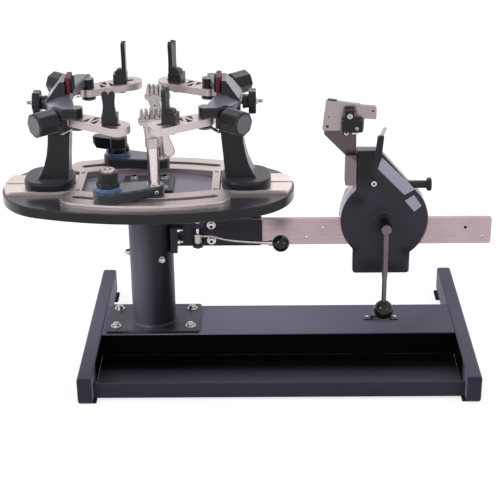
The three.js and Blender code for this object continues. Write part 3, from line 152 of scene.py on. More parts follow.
class StringerStudio(bpy.types.PropertyGroup):
    """The plain studio round the machine."""

    floor: colour("Floor", "Colour of the floor in the light it throws back", (0.86, 0.86, 0.87))
    catcher: colour("Shadow catcher", "Share of the light that the seen floor shows", (0.42, 0.42, 0.425))
    lift: share("Floor's glow", "Even glow that brings the seen floor near white", 0.74)
    lens: measure("Lens", "Focal length of the camera", 94.97, "CAMERA")
    sky: share("Sky", "Strength of the even light from all round", 0.62)
    sky_colour: colour("Sky's colour", "Colour of the even light", (0.97, 0.975, 1))
    key: measure("Key lamp", "Power of the large lamp above the front left", 23, "POWER")
    fill: measure("Fill lamp", "Power of the lamp at the front right", 11, "POWER")
    top: measure("Top lamp", "Power of the lamp overhead", 12, "POWER")


def sizes():
    return bpy.context.scene.stringer_sizes


def colours():
    return bpy.context.scene.stringer_colours


def in_mm(metres):
    return metres / MM


# Places


def box(node):
    low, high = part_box(node)
    return low / MM, high / MM


def middle(node):
    low, high = box(node)
    return (low + high) / 2


def at(x, y, z=0, turn=0):
    return Matrix.Translation((x, y, z)) @ Matrix.Rotation(math.radians(turn), 4, "Z")


def facing(x, y, z, direction):
    """A place whose own Z axis points along the direction."""
    return Matrix.Translation((x, y, z)) @ Vector(direction).to_track_quat("Z", "Y").to_matrix().to_4x4()


def upside_down(x, z):
    return at(x, 0, z) @ Matrix.Rotation(math.pi, 4, "X")


def turntable(side="right"):
    axis = middle("bearing_sleeve")
    return at(axis.x, axis.y, 0, 0 if side == "right" else 180)


def arm_sign(side, end):
    """The Y side of an arm in its own tower's frame."""
    return -1 if (end == "front") == (side == "right") else 1


# Small mesh steps


def new_island():
    bm = bmesh.new()
    bm.faces.layers.float.new("worn")
    bm.faces.layers.float.new("tone")
    return bm


def everything(bm):
    return bm.verts[:] + bm.edges[:] + bm.faces[:]


def only(kind, items):
    return [item for item in items if isinstance(item, kind)]


def cut_rim(bm, point, beyond):
    """Cuts away what lies beyond a plane, and gives the edges that this leaves open."""
    cut = bmesh.ops.bisect_plane(
        bm, geom=everything(bm), plane_co=point, plane_no=beyond, clear_outer=True
    )
    return only(bmesh.types.BMEdge, cut["geom_cut"])


def carry_tone(bm, faces, tone=1):
    layer = bm.faces.layers.float["tone"]
    for face in faces:
        face[layer] = tone


def bevel(bm, geom, width, segments, affect):
    return bmesh.ops.bevel(
        bm,
        geom=geom,
        offset=width,
        offset_type="OFFSET",
        segments=segments,
        profile=0.5,
        affect=affect,
        clamp_overlap=True,
        material=-1,
    )


def round_edges(bm, width, segments=2, degrees=ROUND_FROM):
    """Rounds the edges that are sharper than the angle, and marks the new faces as worn."""
    worn = bm.faces.layers.float["worn"]
    limit = math.radians(degrees)
    sharp = [edge for edge in bm.edges if len(edge.link_faces) == 2 and edge.calc_face_angle(0) > limit]
    if not sharp or width <= 0:
        return
    for face in bevel(bm, sharp, width, segments, "EDGES")["faces"]:
        face[worn] = 1


def round_corners(bm, corners, radius, segments=6):
    bevel(bm, corners, radius, segments, "VERTICES")


def raise_faces(bm, height):
    made = bmesh.ops.extrude_face_region(bm, geom=bm.faces[:])
    bmesh.ops.translate(bm, verts=only(bmesh.types.BMVert, made["geom"]), vec=(0, 0, height))
    bmesh.ops.recalc_face_normals(bm, faces=bm.faces[:])


def plate(points, low, high, corner=0, edge=0, segments=2):
    """A flat plate from its corners, which are rounded before the plate is raised."""
    bm = new_island()
    bm.faces.new([bm.verts.new((x, y, low)) for x, y in points])
    if corner:
        round_corners(bm, bm.verts[:], corner)
    raise_faces(bm, high - low)
    round_edges(bm, edge, segments=segments)
    return bm


def slab(x0, x1, y0, y1, low, high, corner=0, edge=0):
    return plate([(x0, y0), (x1, y0), (x1, y1), (x0, y1)], low, high, corner=corner, edge=edge)


def spin(bm, geom, centre, angle, steps, merge):
    return bmesh.ops.spin(
        bm,
        geom=geom,
        cent=centre,
        axis=UP,
        dvec=(0, 0, 0),
        angle=angle,
        steps=steps,
        use_merge=merge,
        use_normal_flip=False,
        use_duplicate=False,
    )


def lathe(profile, edge=0, steps=0, segments=2):
    """A round piece from a profile of radius and height pairs, turned about Z."""
    bm = new_island()
    line = [bm.verts.new((radius, 0, height)) for radius, height in profile]
    edges = [bm.edges.new(pair) for pair in zip(line, line[1:])]
    spin(bm, line + edges, (0, 0, 0), math.tau, steps or sizes().round_steps, merge=True)
    bmesh.ops.remove_doubles(bm, verts=bm.verts[:], dist=TINY)
    bmesh.ops.recalc_face_normals(bm, faces=bm.faces[:])
    round_edges(bm, edge, segments=segments)
    return bm


def prism(radius, sides, low, high, edge=0, segments=2):
    bm = new_island()
    bmesh.ops.create_circle(bm, cap_ends=True, radius=radius, segments=sides)
    bmesh.ops.translate(bm, verts=bm.verts[:], vec=(0, 0, low))
    raise_faces(bm, high - low)
    round_edges(bm, edge, segments=segments)
    return bm


def peg(radius, low, high, edge=0, steps=32):
    return prism(radius, steps, low, high, edge=edge)


def hex_prism(across, low, high, edge=0.3):
    return prism(across / math.sqrt(3), 6, low, high, edge=edge, segments=1)


def fluted_grip(radius, depth, lobes, low, high, edge=0, steps=12, segments=2):
    """A knob's grip: a circle drawn in between its lobes and raised."""
    bm = new_island()
    bmesh.ops.create_circle(bm, cap_ends=True, radius=radius, segments=lobes * steps)
    for vert in bm.verts:
        angle = math.atan2(vert.co.y, vert.co.x)
        reach = 1 - depth * (1 - math.cos(lobes * angle)) / 2 / radius
        vert.co = Vector((vert.co.x * reach, vert.co.y * reach, low))
    raise_faces(bm, high - low)
    round_edges(bm, edge, segments=segments, degrees=40)
    return bm


def ball(radius, flat, edge=0.4):
    """A ball with a flat turned on its top, where the rod goes in."""
    bm = new_island()
    bmesh.ops.create_uvsphere(bm, u_segments=48, v_segments=28, radius=radius)
    top = math.sqrt(radius**2 - flat**2)
    bmesh.ops.contextual_create(bm, geom=cut_rim(bm, (0, 0, top), UP))
    round_edges(bm, edge, degrees=24)
    return bm


def sink_socket(bm, inset, depth):
    """Sinks the highest face of an island by an inset and a drop, for a screw's socket."""
    top = max(bm.faces, key=lambda face: (round(face.calc_center_median().z, 3), face.calc_area()))
    bmesh.ops.inset_region(bm, faces=[top], thickness=inset, use_even_offset=True)
    made = bmesh.ops.extrude_face_region(bm, geom=[top])
    sunk = only(bmesh.types.BMVert, made["geom"])
    bmesh.ops.delete(bm, geom=[top], context="FACES_KEEP_BOUNDARY")
    bmesh.ops.translate(bm, verts=sunk, vec=(0, 0, -depth))
    # The recess takes a tone, which the metal finishes paint near black: painted shade in the socket
    for vert in sunk:
        carry_tone(bm, vert.link_faces)
    return bm


def rod_along(points, radius, ring_steps=5):
    """A bent rod: a smooth curve through the points, made a mesh."""
    curve = bpy.data.curves.new("rod", "CURVE")
    curve.dimensions = "3D"
    curve.bevel_depth = radius
    curve.bevel_resolution = ring_steps
    curve.use_fill_caps = True
    spline = curve.splines.new("NURBS")
    spline.points.add(len(points) - 1)
    for point, place in zip(spline.points, points):
        point.co = (*place, 1)
    spline.use_endpoint_u = True
    spline.order_u = 4
    spline.resolution_u = 10
    holder = bpy.data.objects.new("rod", curve)
    bpy.context.scene.collection.objects.link(holder)
    shown = holder.evaluated_get(bpy.context.evaluated_depsgraph_get())
    mesh = bpy.data.meshes.new_from_object(shown)
    bm = new_island()
    bm.from_mesh(mesh)
    bpy.data.objects.remove(holder)
    bpy.data.curves.remove(curve)
    bpy.data.meshes.remove(mesh)
    bmesh.ops.remove_doubles(bm, verts=bm.verts[:], dist=TINY)
    bmesh.ops.recalc_face_normals(bm, faces=bm.faces[:])
    return bm


def copied(node, edge, segments=2, degrees=ROUND_FROM):
    """A merged copy of a CAD node's mesh, in millimetres, with its sharp edges rounded."""
    bm = new_island()
    bm.from_mesh(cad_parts[node].data)
    bmesh.ops.scale(bm, vec=(1 / MM, 1 / MM, 1 / MM), verts=bm.verts[:])
    bmesh.ops.remove_doubles(bm, verts=bm.verts[:], dist=TINY)
    bmesh.ops.dissolve_limit(bm, angle_limit=math.radians(1), verts=bm.verts[:], edges=bm.edges[:])
    round_edges(bm, edge, segments=segments, degrees=degrees)
    return bm


def together(place, *islands):
    """Islands that share one place."""
    return [(island, place) for island in islands]


def place_piece(name, body, slot, finish, islands, *nodes):
    """Joins islands at their places into one piece that rides on a body and stands for the nodes."""
    whole = new_island()
    for island, place in islands:
        bmesh.ops.transform(island, matrix=Matrix.Scale(MM, 4) @ place, verts=island.verts[:])
        part = bpy.data.meshes.new("island")
        island.to_mesh(part)
        island.free()
        whole.from_mesh(part)
        bpy.data.meshes.remove(part)
    mesh = bpy.data.meshes.new(name)
    whole.to_mesh(mesh)
    whole.free()
    mesh.polygons.foreach_set("use_smooth", [True] * len(mesh.polygons))
    mesh.set_sharp_from_angle(angle=math.radians(SHARP_FROM))
    mesh.materials.append(bpy.data.materials[finish])
    piece = bpy.data.objects.new(name, mesh)
    bpy.context.scene.collection.objects.link(piece)
    weighted = piece.modifiers.new("Even shading", "WEIGHTED_NORMAL")
    weighted.keep_sharp = True
    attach(piece, body)
    if nodes:
        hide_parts(*nodes)
    return piece


def dress(node, body, slot, finish, edge, segments=2, degrees=ROUND_FROM):
    """Shows a CAD node's own form, with rounded edges and a finish."""
    islands = [(copied(node, edge, segments=segments, degrees=degrees), Matrix())]
    return place_piece(f"{node}_shown", body, slot, finish, islands, node)


def refinish(node, finish):
    """Gives a carried-over CAD node one of the finishes."""
    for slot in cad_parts[node].material_slots:
        slot.material = bpy.data.materials[finish]


# Fasteners


def tube(outer, inner, low, high, edge=0.25, steps=32):
    """A washer, a hub or a ring, turned about Z."""
    wall = [(inner, low), (outer, low), (outer, high), (inner, high), (inner, low)]
    return lathe(wall, edge=edge, steps=steps)


def socket_head(radius, low, high, inset, depth, edge=0.5, steps=32):
    """A round head with a round recess, which leaves a rim as wide as the inset."""
    return sink_socket(peg(radius, low, high, edge=edge, steps=steps), inset=inset, depth=depth)


def pan_screw(radius, low, rise):
    """A low socket screw's head, whose edge and recess follow its size."""
    return socket_head(radius, low, low + rise, radius * 0.36, rise * 0.6, edge=rise * 0.28)


# Finishes

VECTOR = "NodeSocketVector"
NUMBER = "NodeSocketFloat"
# A soft patch's share at its full colour, and a size in metres that it never reaches
SOFT = 0.1
ENDLESS = 1


def group_tree(name, inputs, *outputs):
    """A new node group with its input and output nodes."""
    tree = bpy.data.node_groups.new(name, "ShaderNodeTree")
    for socket, kind, default in inputs:
        made = tree.interface.new_socket(name=socket, in_out="INPUT", socket_type=kind)
        if default is not None:
            made.default_value = default
    for socket in outputs:
        tree.interface.new_socket(name=socket, in_out="OUTPUT", socket_type=NUMBER)
    return tree, new_node(tree, "NodeGroupInput"), new_node(tree, "NodeGroupOutput")


def new_node(tree, kind, **values):
    node = tree.nodes.new(kind)
    for name, value in values.items():
        setattr(node, name, value)
    return node


def preset(node, **values):
    for name, value in values.items():
        node.inputs[name.replace("_", " ").title()].default_value = value


def link(tree, *links):
    """Links nodes, each link given as a node, its output, the next node and its input."""
    for source, output, target, socket in links:
        tree.links.new(source.outputs[output], target.inputs[socket])


def mottling_group():
    """Soft clouds and fine specks, as one even mask."""
    inputs = [("Vector", VECTOR, None), ("Cloud scale", NUMBER, 22), ("Speck scale", NUMBER, 320)]
    tree, source, result = group_tree("Mottling", inputs, "Mask")
    clouds = new_node(tree, "ShaderNodeTexNoise")
    preset(clouds, detail=4)
    specks = new_node(tree, "ShaderNodeTexNoise")
    preset(specks, detail=2)
    blend = new_node(tree, "ShaderNodeMix", data_type="FLOAT")
    preset(blend, factor=0.35)
    spread = new_node(tree, "ShaderNodeMapRange")
    preset(spread, from_min=0.3, from_max=0.7)
    link(
        tree,
        (source, "Vector", clouds, "Vector"),
        (source, "Vector", specks, "Vector"),
        (source, "Cloud scale", clouds, "Scale"),
        (source, "Speck scale", specks, "Scale"),
        (clouds, "Fac", blend, "A"),
        (specks, "Fac", blend, "B"),
        (blend, "Result", spread, "Value"),
        (spread, "Result", result, "Mask"),
    )


def grain_group():
    """The height of a sprayed, cast or moulded skin."""
    inputs = [("Vector", VECTOR, None), ("Scale", NUMBER, 800), ("Pits", NUMBER, 0)]
    tree, source, result = group_tree("Skin grain", inputs, "Height")
    peel = new_node(tree, "ShaderNodeTexNoise")
    preset(peel, detail=3)
    pits = new_node(tree, "ShaderNodeTexVoronoi")
    blend = new_node(tree, "ShaderNodeMix", data_type="FLOAT")
    link(
        tree,
        (source, "Vector", peel, "Vector"),
        (source, "Vector", pits, "Vector"),
        (source, "Scale", peel, "Scale"),
        (source, "Scale", pits, "Scale"),
        (source, "Pits", blend, "Factor"),
        (peel, "Fac", blend, "A"),
        (pits, "Distance", blend, "B"),
        (blend, "Result", result, "Height"),
    )


def brushed_group():
    """Fine scratches along one direction, as a shade and a height."""
    inputs = [("Vector", VECTOR, None), ("Length", NUMBER, 14), ("Width", NUMBER, 900)]
    tree, source, result = group_tree("Brushed lines", inputs, "Shade", "Height")
    stretch = new_node(tree, "ShaderNodeCombineXYZ")
    scaled = new_node(tree, "ShaderNodeVectorMath", operation="MULTIPLY")
    fine = new_node(tree, "ShaderNodeTexNoise")
    preset(fine, scale=1, detail=5, roughness=0.65)
    spread = new_node(tree, "ShaderNodeMapRange")
    preset(spread, from_min=0.32, from_max=0.68)
    link(
        tree,
        (source, "Length", stretch, "X"),
        (source, "Width", stretch, "Y"),
        (source, "Width", stretch, "Z"),
        (source, "Vector", scaled, 0),
        (stretch, "Vector", scaled, 1),
        (scaled, "Vector", fine, "Vector"),
        (fine, "Fac", spread, "Value"),
        (spread, "Result", result, "Shade"),
        (fine, "Fac", result, "Height"),
    )


def shade_group():
    """A soft-edged patch round a place, as wide and high as its size."""
    inputs = [("Vector", VECTOR, None), ("Place", VECTOR, None)]
    inputs += [("Size", VECTOR, (1, 1, 1)), ("Full", NUMBER, SOFT)]
    tree, source, result = group_tree("Soft shade", inputs, "Mask")
    offset = new_node(tree, "ShaderNodeVectorMath", operation="SUBTRACT")
    sized = new_node(tree, "ShaderNodeVectorMath", operation="DIVIDE")
    reach = new_node(tree, "ShaderNodeVectorMath", operation="LENGTH")
    spread = new_node(tree, "ShaderNodeMapRange", interpolation_type="SMOOTHSTEP")
    preset(spread, to_min=1, to_max=0)
    link(
        tree,
        (source, "Vector", offset, 0),
        (source, "Place", offset, 1),
        (offset, "Vector", sized, 0),
        (source, "Size", sized, 1),
        (sized, "Vector", reach, 0),
        (reach, "Value", spread, "Value"),
        (source, "Full", spread, "From Min"),
        (spread, "Result", result, "Mask"),
    )


def wear_group():
    """Where the rounded edges have been rubbed, broken up by noise."""
    inputs = [("Vector", VECTOR, None), ("Amount", NUMBER, 0.4)]
    tree, source, result = group_tree("Edge wear", inputs, "Mask")
    marked = new_node(tree, "ShaderNodeAttribute", attribute_name="worn")
    patches = new_node(tree, "ShaderNodeTexNoise")
    preset(patches, scale=60, detail=6)
    spread = new_node(tree, "ShaderNodeMapRange")
    preset(spread, from_min=0.42, from_max=0.66)
    masked = new_node(tree, "ShaderNodeMath", operation="MULTIPLY")
    scaled = new_node(tree, "ShaderNodeMath", operation="MULTIPLY")
    link(
        tree,
        (source, "Vector", patches, "Vector"),
        (patches, "Fac", spread, "Value"),
        (spread, "Result", masked, 0),
        (marked, "Fac", masked, 1),
        (masked, "Value", scaled, 0),
        (source, "Amount", scaled, 1),
        (scaled, "Value", result, "Mask"),
    )


def grouped(tree, name, vector, **inputs):
    node = new_node(tree, "ShaderNodeGroup", node_tree=bpy.data.node_groups[name])
    tree.links.new(vector, node.inputs["Vector"])
    for socket, value in inputs.items():
        node.inputs[socket.replace("_", " ").capitalize()].default_value = value
    return node


def varied(tree, mask, low, high):
    """A value that follows a mask between two ends."""
    ranged = new_node(tree, "ShaderNodeMapRange")
    preset(ranged, to_min=low, to_max=high)
    tree.links.new(mask, ranged.inputs["Value"])
    return ranged.outputs["Result"]


def tinted(tree, mask, first, second):
    """A colour that follows a mask from the first to the second, either of which may be a link."""
    blend = new_node(tree, "ShaderNodeMix", data_type="RGBA")
    tree.links.new(mask, blend.inputs["Factor"])
    for socket, value in ((blend.inputs[6], first), (blend.inputs[7], second)):
        if isinstance(value, bpy.types.NodeSocket):
            tree.links.new(value, socket)
        else:
            socket.default_value = (*value, 1)
    return blend.outputs[2]


def shaded(base, factor):
    return tuple(min(1, channel * factor) for channel in base)


def start_finish(name, metallic):
    material = bpy.data.materials.new(name)
    material.use_nodes = True
    tree = material.node_tree
    shader = tree.nodes["Principled BSDF"]
    preset(shader, metallic=metallic)
    where = new_node(tree, "ShaderNodeTexCoord").outputs["Object"]
    return tree, shader, where


def bump_from(tree, shader, height, depth):
    bump = new_node(tree, "ShaderNodeBump")
    preset(bump, distance=depth, strength=1)
    tree.links.new(height, bump.inputs["Height"])
    tree.links.new(bump.outputs["Normal"], shader.inputs["Normal"])


def slanted(tree, low, high):
    """A mask of where a surface is seen at a slant."""
    weight = new_node(tree, "ShaderNodeLayerWeight")
    ranged = new_node(tree, "ShaderNodeMapRange")
    preset(ranged, from_min=low, from_max=high)
    tree.links.new(weight.outputs["Facing"], ranged.inputs["Value"])
    return ranged.outputs["Result"]


def toned(tree, skin, colour):
    """Gives the faces that carry a tone a second colour, which is painted shade on some pieces and a real
    second colour on others.
    """
    marked = new_node(tree, "ShaderNodeAttribute", attribute_name="tone")
    return tinted(tree, marked.outputs["Fac"], skin, colour)


def patched(tree, where, skin, patches):
    """Lays soft-edged patches over a skin, each with its place, size, full share and colour."""
    for place, size, full, patch in patches:
        soft = grouped(tree, "Soft shade", where, place=place, size=size, full=full)
        skin = tinted(tree, soft.outputs["Mask"], skin, patch)
    return skin


def coated_finish(
    name,
    base,
    rough,
    grain=1300,
    depth=0.00003,
    wear=0.2,
    pits=0.0,
    bare=None,
    lit=None,
    gloss=0.25,
    sheen=0.0,
    second=None,
    clouds=0.13,
    cloud_scale=22,
    patches=(),
):
    """A painted, cast or moulded skin: mottled colour, fine grain, rubbed edges and a sheen at a slant.

    The grain is its scale and the depth its height in metres. The bare colour shows on rubbed edges,
    the lit one at a slant, and the second one on the faces that carry a tone.
    """
    tree, shader, where = start_finish(name, 0)
    mottle = grouped(tree, "Mottling", where, cloud_scale=cloud_scale)
    grained = grouped(tree, "Skin grain", where, scale=grain, pits=pits)
    worn = grouped(tree, "Edge wear", where, amount=wear)
    skin = tinted(tree, mottle.outputs["Mask"], shaded(base, 1 - clouds), shaded(base, 1 + clouds))
    if lit:
        slant = slanted(tree, 0.28, 0.85)
        skin = tinted(tree, slant, skin, lit)
        tree.links.new(varied(tree, slant, 0, sheen), shader.inputs["Coat Weight"])
        preset(shader, coat_roughness=0.2)
        shader.inputs["Coat IOR"].default_value = 1.8
    skin = patched(tree, where, skin, patches)
    if second:
        skin = toned(tree, skin, second)
    shown = tinted(tree, worn.outputs["Mask"], skin, bare or colours().rubbed)
    roughness = varied(tree, mottle.outputs["Mask"], rough - 0.05, rough + 0.05)
    tree.links.new(shown, shader.inputs["Base Color"])
    tree.links.new(roughness, shader.inputs["Roughness"])
    shader.inputs["Specular IOR Level"].default_value = gloss
    bump_from(tree, shader, grained.outputs["Height"], depth)


def metal_finish(name, base, rough, lines=None, depth=0.00002, grain=1600, wear=0.3, flank=0.0, patches=()):
    """Bare metal: brushed along X, or blasted where there are no lines, with painted dark reflections where
    it turns away from the view.
    """
    tree, shader, where = start_finish(name, 1)
    mottle = grouped(tree, "Mottling", where, cloud_scale=14)
    worn = grouped(tree, "Edge wear", where, amount=wear)
    skin = tinted(tree, mottle.outputs["Mask"], shaded(base, 0.86), shaded(base, 1.08))
    if lines:
        brushed = grouped(tree, "Brushed lines", where, length=lines[0], width=lines[1])
        skin = tinted(tree, varied(tree, brushed.outputs["Shade"], 0, 0.3), skin, shaded(base, 0.66))
        height = brushed.outputs["Height"]
        roughness = varied(tree, brushed.outputs["Shade"], rough - 0.07, rough + 0.1)
    else:
        height = grouped(tree, "Skin grain", where, scale=grain, pits=0.3).outputs["Height"]
        roughness = varied(tree, mottle.outputs["Mask"], rough - 0.06, rough + 0.08)
    # Painted reflection: the flank share darkens the metal at a slant, standing in for dark reflections at
    # its edges
    if flank:
        skin = tinted(tree, varied(tree, slanted(tree, 0.24, 0.8), 0, flank), skin, shaded(base, 0.1))
    # Painted shade: the toned faces, the sockets of the screws, go near black
    skin = toned(tree, patched(tree, where, skin, patches), shaded(base, 0.06))
    shown = tinted(tree, worn.outputs["Mask"], skin, shaded(base, 1.3))
    tree.links.new(shown, shader.inputs["Base Color"])
    tree.links.new(roughness, shader.inputs["Roughness"])
    bump_from(tree, shader, height, depth)


def turntable_place():
    return middle("bearing_sleeve") * Vector((1, 1, 0))


def patch_at(x, y, z, size, full, colour):
    """A soft patch from millimetres. Its size is given in X, Y and Z, and one without a limit is ENDLESS."""
    spans = tuple(span if span == ENDLESS else span * MM for span in size)
    return Vector((x, y, z)) * MM, spans, full, colour


def base_shades():
    """The lit top of the base's sheet."""
    return [patch_at(-70, 0, 60, (400, 240, 50), SOFT, colours().tray_lit)]


def column_shades():
    """The column's lit left side and its shaded right side."""
    tint, spot = colours(), turntable_place()
    sides = ((-26, tint.column_lit), (30, tint.column_dark))
    return [patch_at(spot.x + x, spot.y - 30, 160, (38, 40, ENDLESS), SOFT, shade) for x, shade in sides]


def deck_painted_reflection():
    """Painted reflection: a lighter lavender on the deck between the glide bars."""
    spot = turntable_place()
    return [patch_at(spot.x, spot.y, 0, (138, 64, ENDLESS), 0.95, colours().deck_inside_reflection)]


def gripper_shades():
    """The lighter lower post of the gripper's arm."""
    axis, front = head_place(), box("gripper_arm")[0].y
    return [patch_at(axis.x - 66, front, axis.z + 78, (26, ENDLESS, 38), 0.82, colours().post)]


def cover_painted_shade():
    """Painted shade: soft dark patches on the cover's face, by its notches, its lower edge and the crank,
    standing in for blurry dark reflections and shade.
    """
    axis, front = head_place(), box("head_cover")[0].y
    shades = [(-45, 36, 22, 20), (-53, -50, 22, 18), (36, -54, 18, 14), (-24, -82, 32, 24), (18, -86, 28, 18)]
    shades += [(-3, -6, 21, 24), (-30, 112, 42, 17), (14, 96, 10, 30), (-34, 86, 28, 44)]
    return [
        patch_at(axis.x + x, front, axis.z + z, (wide, ENDLESS, high), SOFT, colours().tray)
        for x, z, wide, high in shades
    ]


class STRINGER_OT_finishes(bpy.types.Operator):
    """Makes the node groups and the finishes."""

    bl_idname = "stringer.finishes"
    bl_label = "Make finishes"

    def execute(self, context):
        mottling_group()
        grain_group()
        brushed_group()
        wear_group()
        shade_group()
        coated_finishes(colours())
        metal_finishes(colours())
        return {"FINISHED"}


def coated_finishes(tint):
    """The powder coats, castings, plastics, rubber and pads."""
    coat = {"grain": 900, "depth": 0.00004}
    # On the base's sheet and feet the toned faces take painted shade, and base_shades lays a painted lit
    # patch on the sheet's top
    tray = {"second": tint.tray, "patches": base_shades(), **coat}
    coated_finish("Powder coat", tint.coat, rough=0.42, lit=tint.coat_lit, sheen=0.35, **coat)
    coated_finish("Tray coat", tint.tray_coat, rough=0.5, lit=tint.tray_lit, gloss=0.04, **tray)
    coated_finish("Column coat", tint.coat, rough=0.42, lit=tint.coat_lit, patches=column_shades(), **coat)
    coated_finish("Black casting", tint.casting, rough=0.44, lit=tint.casting_lit, sheen=0.8)
    # Tower black is the black casting with half its painted sheen, so the towers' slanted faces read darker
    coated_finish("Tower black", tint.casting, rough=0.42, lit=shaded(tint.casting_lit, 0.5), sheen=0.3)
    # Clamp black is a lighter copy of the black casting, painted light on the clamp bases; its strong grey
    # edges are partly wear and partly a painted highlight along them
    clamp = {"wear": 0.7, "bare": tint.cap, "lit": tint.casting_lit, "sheen": 0.9}
    coated_finish("Clamp black", shaded(tint.casting, 1.9), rough=0.4, **clamp)
    deck = {"grain": 700, "depth": 0.00001, "lit": tint.deck_lit, "sheen": 0.6}
    coated_finish("Deck black", tint.deck, rough=0.3, patches=deck_painted_reflection(), **deck)
    cover = {"lit": shaded(tint.casting_lit, 0.8), "sheen": 0.5, "second": tint.housing}
    # The cover's strong, wide clouds are painted reflection: blotches that stand in for blurry dark
    # reflections on its face
    cover.update(clouds=0.3, cloud_scale=13, patches=cover_painted_shade())
    coated_finish("Slate cover", tint.cover, rough=0.4, **cover)
    coated_finish("Pale carriage", tint.carriage, rough=0.5, bare=tint.carriage_worn, gloss=0.4)
    moulded = {"lit": tint.plastic_lit, "second": tint.cap, "grain": 2200, "depth": 0.00002, "sheen": 0.5}
    coated_finish("Black plastic", tint.plastic, rough=0.33, **moulded)
    # Hook black is the black plastic at twice its colour, painted light that makes the hooks read lit
    coated_finish("Hook black", shaded(tint.plastic, 2), rough=0.4, **moulded)
    coated_finish("Ball black", tint.plastic, rough=0.12, grain=2600, depth=0.00001, wear=0, gloss=0.3)
    coated_finish("Rubber", tint.rubber, rough=0.8, grain=1500, depth=0.00005, wear=0.1, pits=0.4)
    coated_finish("Maroon pad", tint.pad, rough=0.5, grain=1800, bare=tint.pad_worn, gloss=0.4)
    ring = {"grain": 2000, "depth": 0.00001, "lit": tint.ring_lit, "gloss": 0.6, "sheen": 1}
    coated_finish("Blue ring", tint.ring, rough=0.25, **ring)
    coated_finish("Blank panel", tint.panel, rough=0.5, grain=2400, bare=tint.panel_worn, gloss=0.4)


def metal_finishes(tint):
    """The brushed, satin, turned and bright metals."""
    metal_finish("Brushed rail", tint.rail, rough=0.38, lines=(16, 1100), depth=0.00003)
    metal_finish("Satin steel", tint.satin, rough=0.36, grain=2200)
    metal_finish("Turned steel", tint.turned, rough=0.24, grain=2600, flank=0.9)
    metal_finish("Gripper steel", tint.gripper, rough=0.4, grain=2200)
    metal_finish("Dark steel", tint.dark, rough=0.42, grain=2200, patches=gripper_shades())
    metal_finish("Satin aluminium", tint.aluminium, rough=0.4, grain=1500, depth=0.00003)
    metal_finish("Pale aluminium", shaded(tint.aluminium, 1.4), rough=0.4, grain=1500, depth=0.00003)
    metal_finish("Bright steel", tint.bright, rough=0.22, grain=3000, depth=0.00001, flank=0.5)
    metal_finish("Crank steel", tint.crank, rough=0.28, grain=2600, flank=0.8)


# The base and the column

# The width of the slices that carry the painted shade in the tray, and the front of the wall behind the tray
SLICE = 3
WALL_FRONT = -31
FLANGE_THICK = 5
COLUMN_RADIUS = 36.5
COLLAR_RADIUS = 39.5
COLLAR_LOW = 236
COLLAR_STEP = 262
SET_BOLT_HEIGHT = 177


def clip_screws():
    """The two screws in the ends of the tool clip."""
    islands = []
    low, high = box("tool_clip")
    top = box("base_channel")[1].z + 2.5
    for x in (low.x + 5.5, high.x - 5.5):
        screw = socket_head(3.2, 0, 1.8, inset=1.4, depth=1.2, steps=24)
        islands.append((screw, at(x, (low.y + high.y) / 2, top)))
    return islands


def slice_across(bm, places):
    """Cuts an island across Y at each place, without taking anything away."""
    for y in places:
        bmesh.ops.bisect_plane(bm, geom=everything(bm), plane_co=(0, y, 0), plane_no=BACKWARD)


def darken(bm, deepest, reach, chosen):
    """Gives the chosen faces a tone, used as painted shade, that grows over the reach, up to the deepest
    place in Y.
    """
    tone = bm.faces.layers.float["tone"]
    for face in bm.faces:
        spot = face.calc_center_median()
        if chosen(face, spot):
            face[tone] = min(1, max(0, 1 - (deepest - spot.y) / reach))


def tray_island(edge):
    """The folded sheet, with painted shade in the depth of its tray."""
    bm = copied("base_channel", 0)
    low, high = box("base_channel")
    slice_across(bm, [low.y + 22 + SLICE * step for step in range(26)])

    def in_tray(face, spot):
        return low.z + 0.5 < spot.z < high.z - 1 and spot.y < WALL_FRONT + 1 and face.normal.y < 0.5

    darken(bm, deepest=low.y + 92, reach=62, chosen=in_tray)
    round_edges(bm, edge)
    return bm


def foot_island(side, edge):
    """A foot bar, with painted shade on its inner face beside the tray."""
    bm = copied(f"{side}_foot_bar", 0)
    inner = 1 if side == "left" else -1
    front = box("base_channel")[0].y
    slice_across(bm, [front + SLICE * step for step in range(22)] + [WALL_FRONT])

    def beside_tray(face, spot):
        return face.normal.x * inner > 0.9 and spot.y < WALL_FRONT

    darken(bm, deepest=front + 44, reach=36, chosen=beside_tray)
    round_edges(bm, edge, segments=3)
    return bm


def foot_pad(side, node):
    """A rubber pad that stands out a little on the bar's inner side."""
    low, high = box(node)
    out = 5
    left = low.x - (out if side == "right" else 0)
    right = high.x + (out if side == "left" else 0)
    front = low.y if "front" in node else low.y - out
    return [(slab(left, right, front, high.y, low.z, high.z, corner=2.5, edge=0.8), Matrix())]


class STRINGER_OT_base(bpy.types.Operator):
    """Builds the sheet base, its foot bars, pads and tool clip."""

    bl_idname = "stringer.base"
    bl_label = "Base"

    def execute(self, context):
        edges = sizes()
        channel = [(tray_island(in_mm(edges.sheet_edge)), Matrix())]
        place_piece("base_sheet", "stand", "black_steel", "Tray coat", channel, "base_channel")
        dress("tool_clip", "stand", "black_steel", "Powder coat", edge=in_mm(edges.sheet_edge))
        for side in SIDES:
            foot = [(foot_island(side, in_mm(edges.bar_edge)), Matrix())]
            place_piece(f"{side}_foot", "stand", "black_steel", "Tray coat", foot, f"{side}_foot_bar")
            for end in ENDS:
                node = f"{side}_{end}_pad"
                place_piece(f"{node}_shown", "stand", "rubber", "Rubber", foot_pad(side, node), node)
        place_piece("clip_screws", "stand", "bright_steel", "Bright steel", clip_screws())
        return {"FINISHED"}


